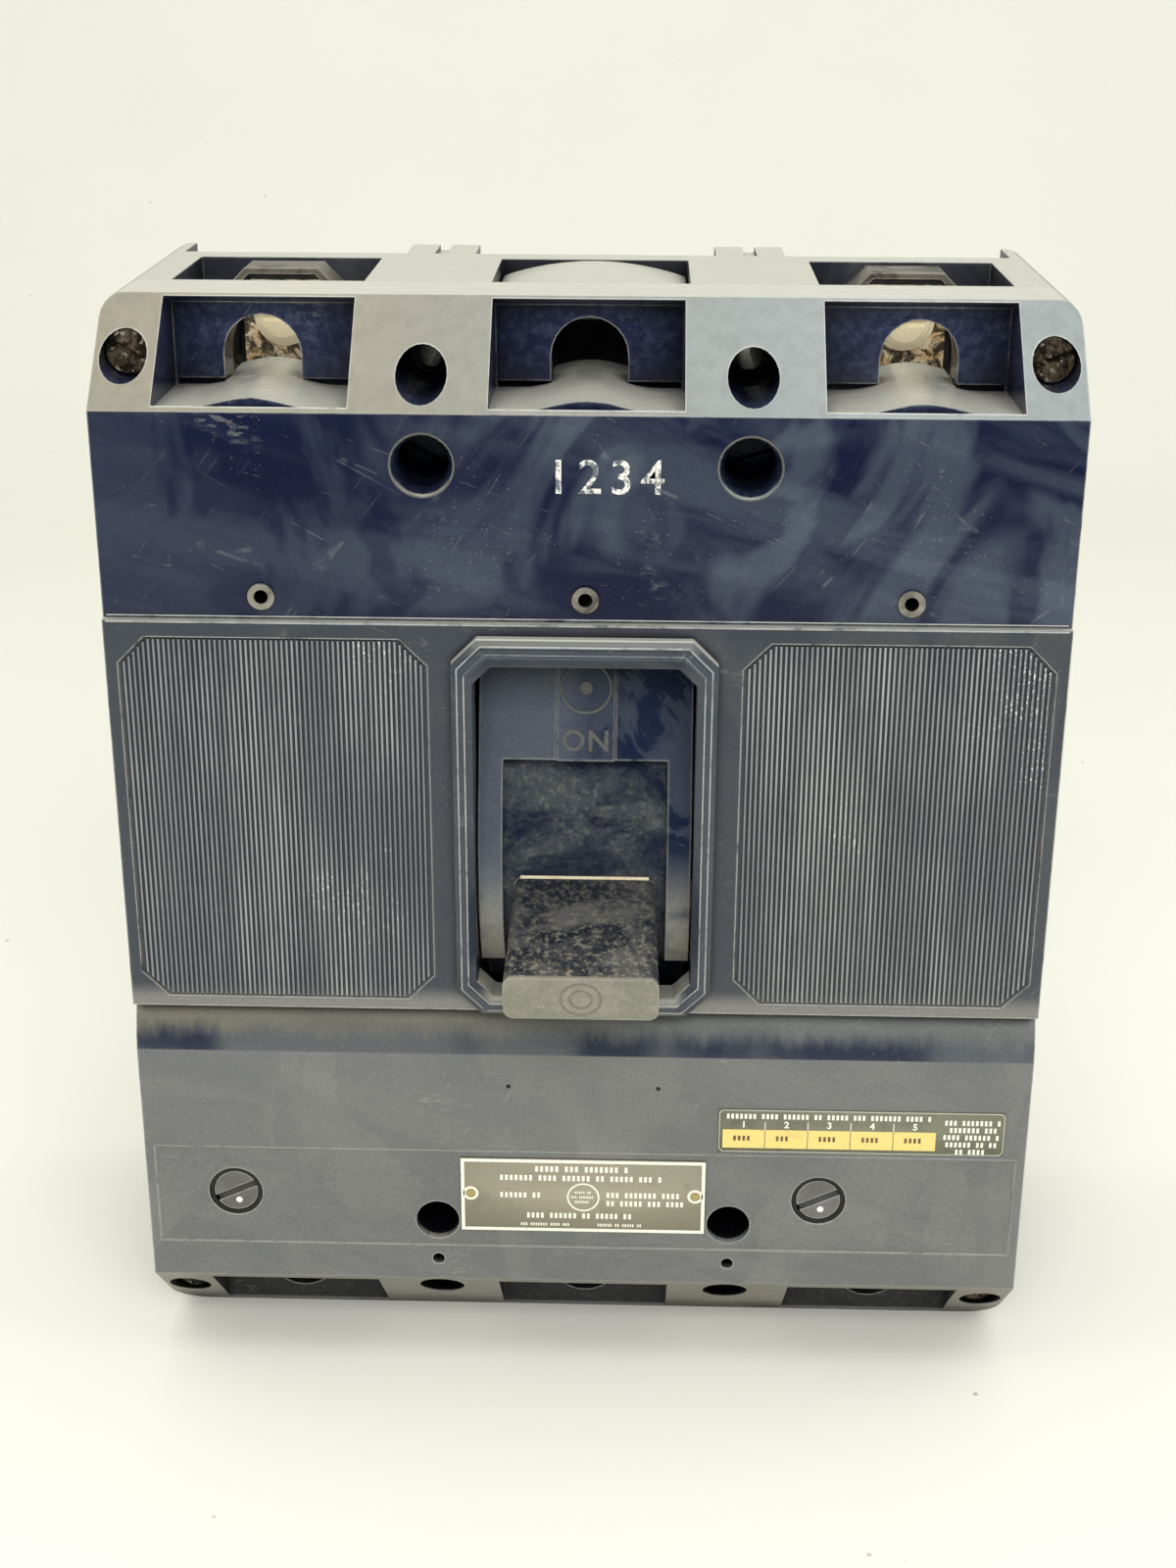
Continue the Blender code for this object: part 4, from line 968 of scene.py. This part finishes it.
def nameplate_details(looks):
    """Border, rows of plain blocks, a round ring and two rivets on the nameplate."""
    low, high = box_of("nameplate")
    face = low.y
    middle = (low.z + high.z) / 2
    half = (high.z - low.z) / 2
    ink = (face - 0.05, face + 0.03)
    shape = bmesh.new()
    inset, thick = 0.1, 0.8
    add_band(shape, chamfered(high.x - inset, half - inset, 0.02, (0.0, middle)),
             chamfered(high.x - inset - thick, half - inset - thick, 0.02, (0.0, middle)), *ink)
    rows = [(-11.4, 11.6, 54.9, 1.5, 0), (-19.8, 19.7, 52.4, 1.45, 2),
            (-19.8, -9.1, 47.6, 1.4, 4), (5.7, 24.6, 47.9, 1.4, 1),
            (5.7, 24.6, 45.6, 1.4, 5), (-13.4, 12.3, 42.0, 1.4, 3),
            (-14.9, -3.0, 39.5, 0.75, 1), (3.6, 14.3, 39.5, 0.75, 4)]
    for x0, x1, z, height, seed in rows:
        greeked(shape, (x0, x1), z, height, seed, *ink)
    centre = (0.1, 47.2)
    add_band(shape, circle(centre, 3.9, 48), circle(centre, 3.5, 48), *ink)
    for i, reach in enumerate((1.9, 2.8, 1.9)):
        greeked(shape, (-reach, reach + 0.3), centre[1] + 1.3 - i * 1.3, 0.62, i, *ink)
    for s in (-1, 1):
        hole = (s * RIVET[0], RIVET[1])
        add_band(shape, circle(hole, 1.85), circle(hole, 1.25), *ink)
    piece_from("nameplate_printing", shape, looks["cream"])
    for s, name in ((-1, "left"), (1, "right")):
        rivet = bmesh.new()
        add_dome(rivet, (s * RIVET[0], RIVET[1]), 1.2, face + 0.02, 0.42)
        piece_from(f"nameplate_rivet_{name}", rivet, looks["rivet"], smooth=True)


def setting_label_details(looks):
    """The scale: header blocks, numbered ticks, five yellow cells and a text block."""
    low, high = box_of("setting_label")
    face = low.y
    ink = (face - 0.03, face + 0.03)
    strip = (32.9, 83.3)
    cells = 5
    wide = (strip[1] - strip[0]) / cells
    z0, z1 = 61.75, 66.7
    foil, values, cream = bmesh.new(), bmesh.new(), bmesh.new()
    for i in range(cells):
        x = strip[0] + i * wide
        add_bar(foil, (x + 0.1, x + wide - 0.1), (z0, z1), *ink)
        greeked(values, (x + wide / 2 - 2.4, x + wide / 2 + 2.4), 64.4, 1.35, i, face - 0.05, face)
        if i:
            add_bar(cream, (x - 0.09, x + 0.09), (z1 + 0.1, z1 + 2.2), *ink)
    greeked(cream, (33.9, 82.0), 70.3, 1.3, 2, *ink)
    rows = ((85.2, 98.2), (86.4, 97.6), (85.0, 98.4), (85.6, 97.8), (88.0, 95.6))
    for i, ends in enumerate(rows):
        greeked(cream, ends, 69.4 - i * 1.95, 1.3, i + 1, *ink)
    half_x, half_z = (high.x - low.x) / 2 - 0.15, (high.z - low.z) / 2 - 0.15
    centre = middle_of("setting_label")
    add_band(cream, chamfered(half_x, half_z, 0.8, centre),
             chamfered(half_x - 0.1, half_z - 0.1, 0.76, centre), *ink)
    piece_from("setting_scale_cells", foil, looks["yellow"])
    piece_from("setting_scale_values", values, looks["ink"])
    piece_from("setting_scale_printing", cream, looks["cream"])
    for i in range(cells):
        lettering(f"setting_scale_digit_{i + 1}", str(i + 1), 2.4,
                  (strip[0] + (i + 0.5) * wide, face, z1 + 1.35), 0.05, looks["cream"],
                  bold=0.05)


def knob_details(looks):
    """A black annulus round each knob, a painted shadow in the well it sits in, and the white dot
    below its slot.
    """
    for side in ("left", "right"):
        knob = f"trip_setting_knob_{side}"
        centre, face = middle_of(knob), box_of(knob)[0].y
        ring = bmesh.new()
        # Painted shadow: a black ring in the gap round the knob.
        add_band(ring, circle(centre, 6.42, 40), circle(centre, 5.45, 40), 0.6, 1.6)
        piece_from(f"knob_well_shadow_{side}", ring, looks["black"], soft=0.1)
        dot = bmesh.new()
        add_dome(dot, (centre[0] + 0.6, centre[1] - 2.6), 0.85, face + 0.03, 0.12, 16, 3)
        piece_from(f"knob_pointer_dot_{side}", dot, looks["white_dot"],
                   f"knob_{side}", smooth=True)


# ---- inside
def coil_springs(looks):
    """The two main springs as wound wire, in place of plain tubes."""
    wire, coils, steps = 0.42, 11, 14
    radius, count = 2.78 - wire, coils * steps
    sideways = Vector((1.0, 0.0, 0.0))
    for side in ("left", "right"):
        name = f"main_spring_{side}"
        points = [v.co / MM for v in frame["nodes"][name].data.vertices]
        middle = sum(points, Vector()) / len(points)
        far = max(points, key=lambda p: (p - middle).length) - middle
        axis = Vector((0.0, far.y, far.z)).normalized()
        reach = max((p - middle).dot(axis) for p in points) - wire
        middle.y -= FRONT / MM
        path = []
        for i in range(count + 1):
            turn = 2 * pi * i / steps
            around = cos(turn) * sideways + sin(turn) * axis.cross(sideways)
            path.append(middle + axis * (2 * i / count - 1) * reach + radius * around)
        shape = bmesh.new()
        add_tube(shape, path, wire, 6)
        coil = piece_from(f"wound_spring_{side}", shape, looks["spring"], "handle",
                          smooth=True)
        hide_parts(name)


# ---- setting
def sweep_look():
    """Pale painted board with a few crumbs on it."""
    look = Look("studio_sweep", roughness=0.75, specular=0.2)
    mottled = look.noise(6.0, 4.0)
    crumbs = look.specks(45.0, 0.045, 0.47)
    body = look.blend(mottled, (0.765, 0.755, 0.665), (0.8, 0.79, 0.7))
    body = look.blend(crumbs, body, (0.25, 0.15, 0.08))
    look.bump(look.noise(700.0, 3.0), 0.02)
    return look.finish(body)


def make_flag():
    """A dark card out in front that only gloss sees, as the high panel reflects it."""
    mesh = bpy.data.meshes.new("flag")
    half, ahead, top = 0.8, -0.62, 0.62
    mesh.from_pydata([(-half, ahead, 0.0), (half, ahead, 0.0), (half, ahead, top),
                      (-half, ahead, top)], [], [(0, 1, 2, 3)])
    card = add_object("flag", mesh)
    look = Look("flag_cloth", roughness=0.9, specular=0.0)
    weave = look.noise(300.0, 2.0)
    mesh.materials.append(look.finish(look.blend(weave, (0.01, 0.012, 0.018),
                                                 (0.02, 0.022, 0.03))))
    for ray in ("camera", "diffuse", "shadow", "transmission"):
        setattr(card, "visible_" + ray, False)


def make_sweep():
    """A pale floor that curves up into a backdrop, in metres."""
    shape = bmesh.new()
    start, radius, steps = 0.75, 0.7, 16
    bend = [(start + radius * sin(t), radius - radius * cos(t)) for t in
            (i * pi / 2 / steps for i in range(steps + 1))]
    profile = [(-4.0, 0.0), *bend, (start + radius, 3.6)]
    rows = [[shape.verts.new((x, y, z)) for y, z in profile] for x in (-6.0, 6.0)]
    for j in range(len(profile) - 1):
        shape.faces.new((rows[0][j], rows[1][j], rows[1][j + 1], rows[0][j + 1]))
    mesh = bpy.data.meshes.new("sweep")
    shape.to_mesh(mesh)
    shape.free()
    mesh.shade_smooth()
    sweep = add_object("sweep", mesh)
    mesh.materials.append(sweep_look())


def aim(light, place, target):
    """Puts a light in its place and turns it to its target."""
    light.location = place
    light.rotation_mode = "QUATERNION"
    way = Vector(target) - Vector(place)
    light.rotation_quaternion = way.to_track_quat("-Z", "Y")


def area_light(name, place, target, size, power, colour):
    """A soft box, its place and size in metres and its power in watts."""
    data = bpy.data.lights.new(name, "AREA")
    data.shape = "RECTANGLE"
    data.size, data.size_y = size
    data.energy = power
    data.color = colour
    light = add_object(name, data)
    aim(light, place, target)
    return light


def terminal_spots():
    """Narrow low spots that reach the terminals through their arches."""
    for side in ("left", "right"):
        low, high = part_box(f"line_terminal_screw_{side}")
        target = (low + high) / 2
        data = bpy.data.lights.new(f"terminal_spot_{side}", "SPOT")
        data.energy = 15.0
        data.color = (1.0, 0.96, 0.88)
        data.spot_size = radians(2.6)
        data.spot_blend = 0.6
        data.shadow_soft_size = 0.02
        aim(add_object(data.name, data), target + Vector((-target.x * 1.3, -0.8, 0.14)), target)


def make_lights():
    """Two soft boxes overhead, a fill from the front, the spots and a pale room."""
    area_light("overhead_warm", (-0.55, 0.0, 1.5), (-0.05, 0.0, 0.1), (1.2, 1.4), 7.5,
               (1.0, 0.97, 0.9))
    area_light("overhead_cool", (0.75, 0.05, 1.45), (0.05, 0.0, 0.1), (1.0, 1.4), 6.0,
               (0.93, 0.98, 1.0))
    fill = area_light("front_fill", (0.15, -1.45, 1.15), (0.0, -0.05, 0.08), (1.6, 0.9),
                      29.0, (0.97, 0.985, 1.0))
    fill.visible_glossy = False
    terminal_spots()
    world = bpy.data.worlds.new("pale_room")
    world.use_nodes = True
    background = world.node_tree.nodes["Background"]
    background.inputs["Color"].default_value = (0.97, 0.98, 1.0, 1.0)
    background.inputs["Strength"].default_value = 0.58
    bpy.context.scene.world = world
    bpy.context.scene.view_settings.view_transform = "Standard"


def make_camera():
    """A camera at CAMERA_PLACE, turned by its pitch, yaw and roll."""
    pitch, yaw, roll = (radians(t) for t in (CAMERA_PITCH, CAMERA_YAW, CAMERA_ROLL))
    forward = Vector((sin(yaw) * cos(pitch), cos(yaw) * cos(pitch), -sin(pitch)))
    right = Vector((cos(yaw), -sin(yaw), 0.0))
    down = forward.cross(right)
    across = cos(roll) * right + sin(roll) * down
    below = cos(roll) * down - sin(roll) * right
    data = bpy.data.cameras.new("camera")
    data.lens = CAMERA_LENS
    data.sensor_width = 36.0
    data.clip_start = 0.02
    camera = add_object("camera", data)
    axes = Matrix((across, -below, -forward)).transposed()
    camera.matrix_world = Matrix.Translation(at(*CAMERA_PLACE)) @ axes.to_4x4()
    bpy.context.scene.camera = camera


def main():
    """Builds the setting, then dresses the nodes and adds the pieces."""
    make_camera()
    make_lights()
    make_sweep()
    make_flag()
    looks = make_looks()
    dress_nodes(looks)
    ribbed = rib_look()
    for side in (-1, 1):
        rib_panel(side, ribbed)
    for make in (cover_trim, screw_wells, bezel_trim, tab_marks, handle_marks,
                 nameplate_details, setting_label_details, knob_details, coil_springs):
        make(looks)


main()
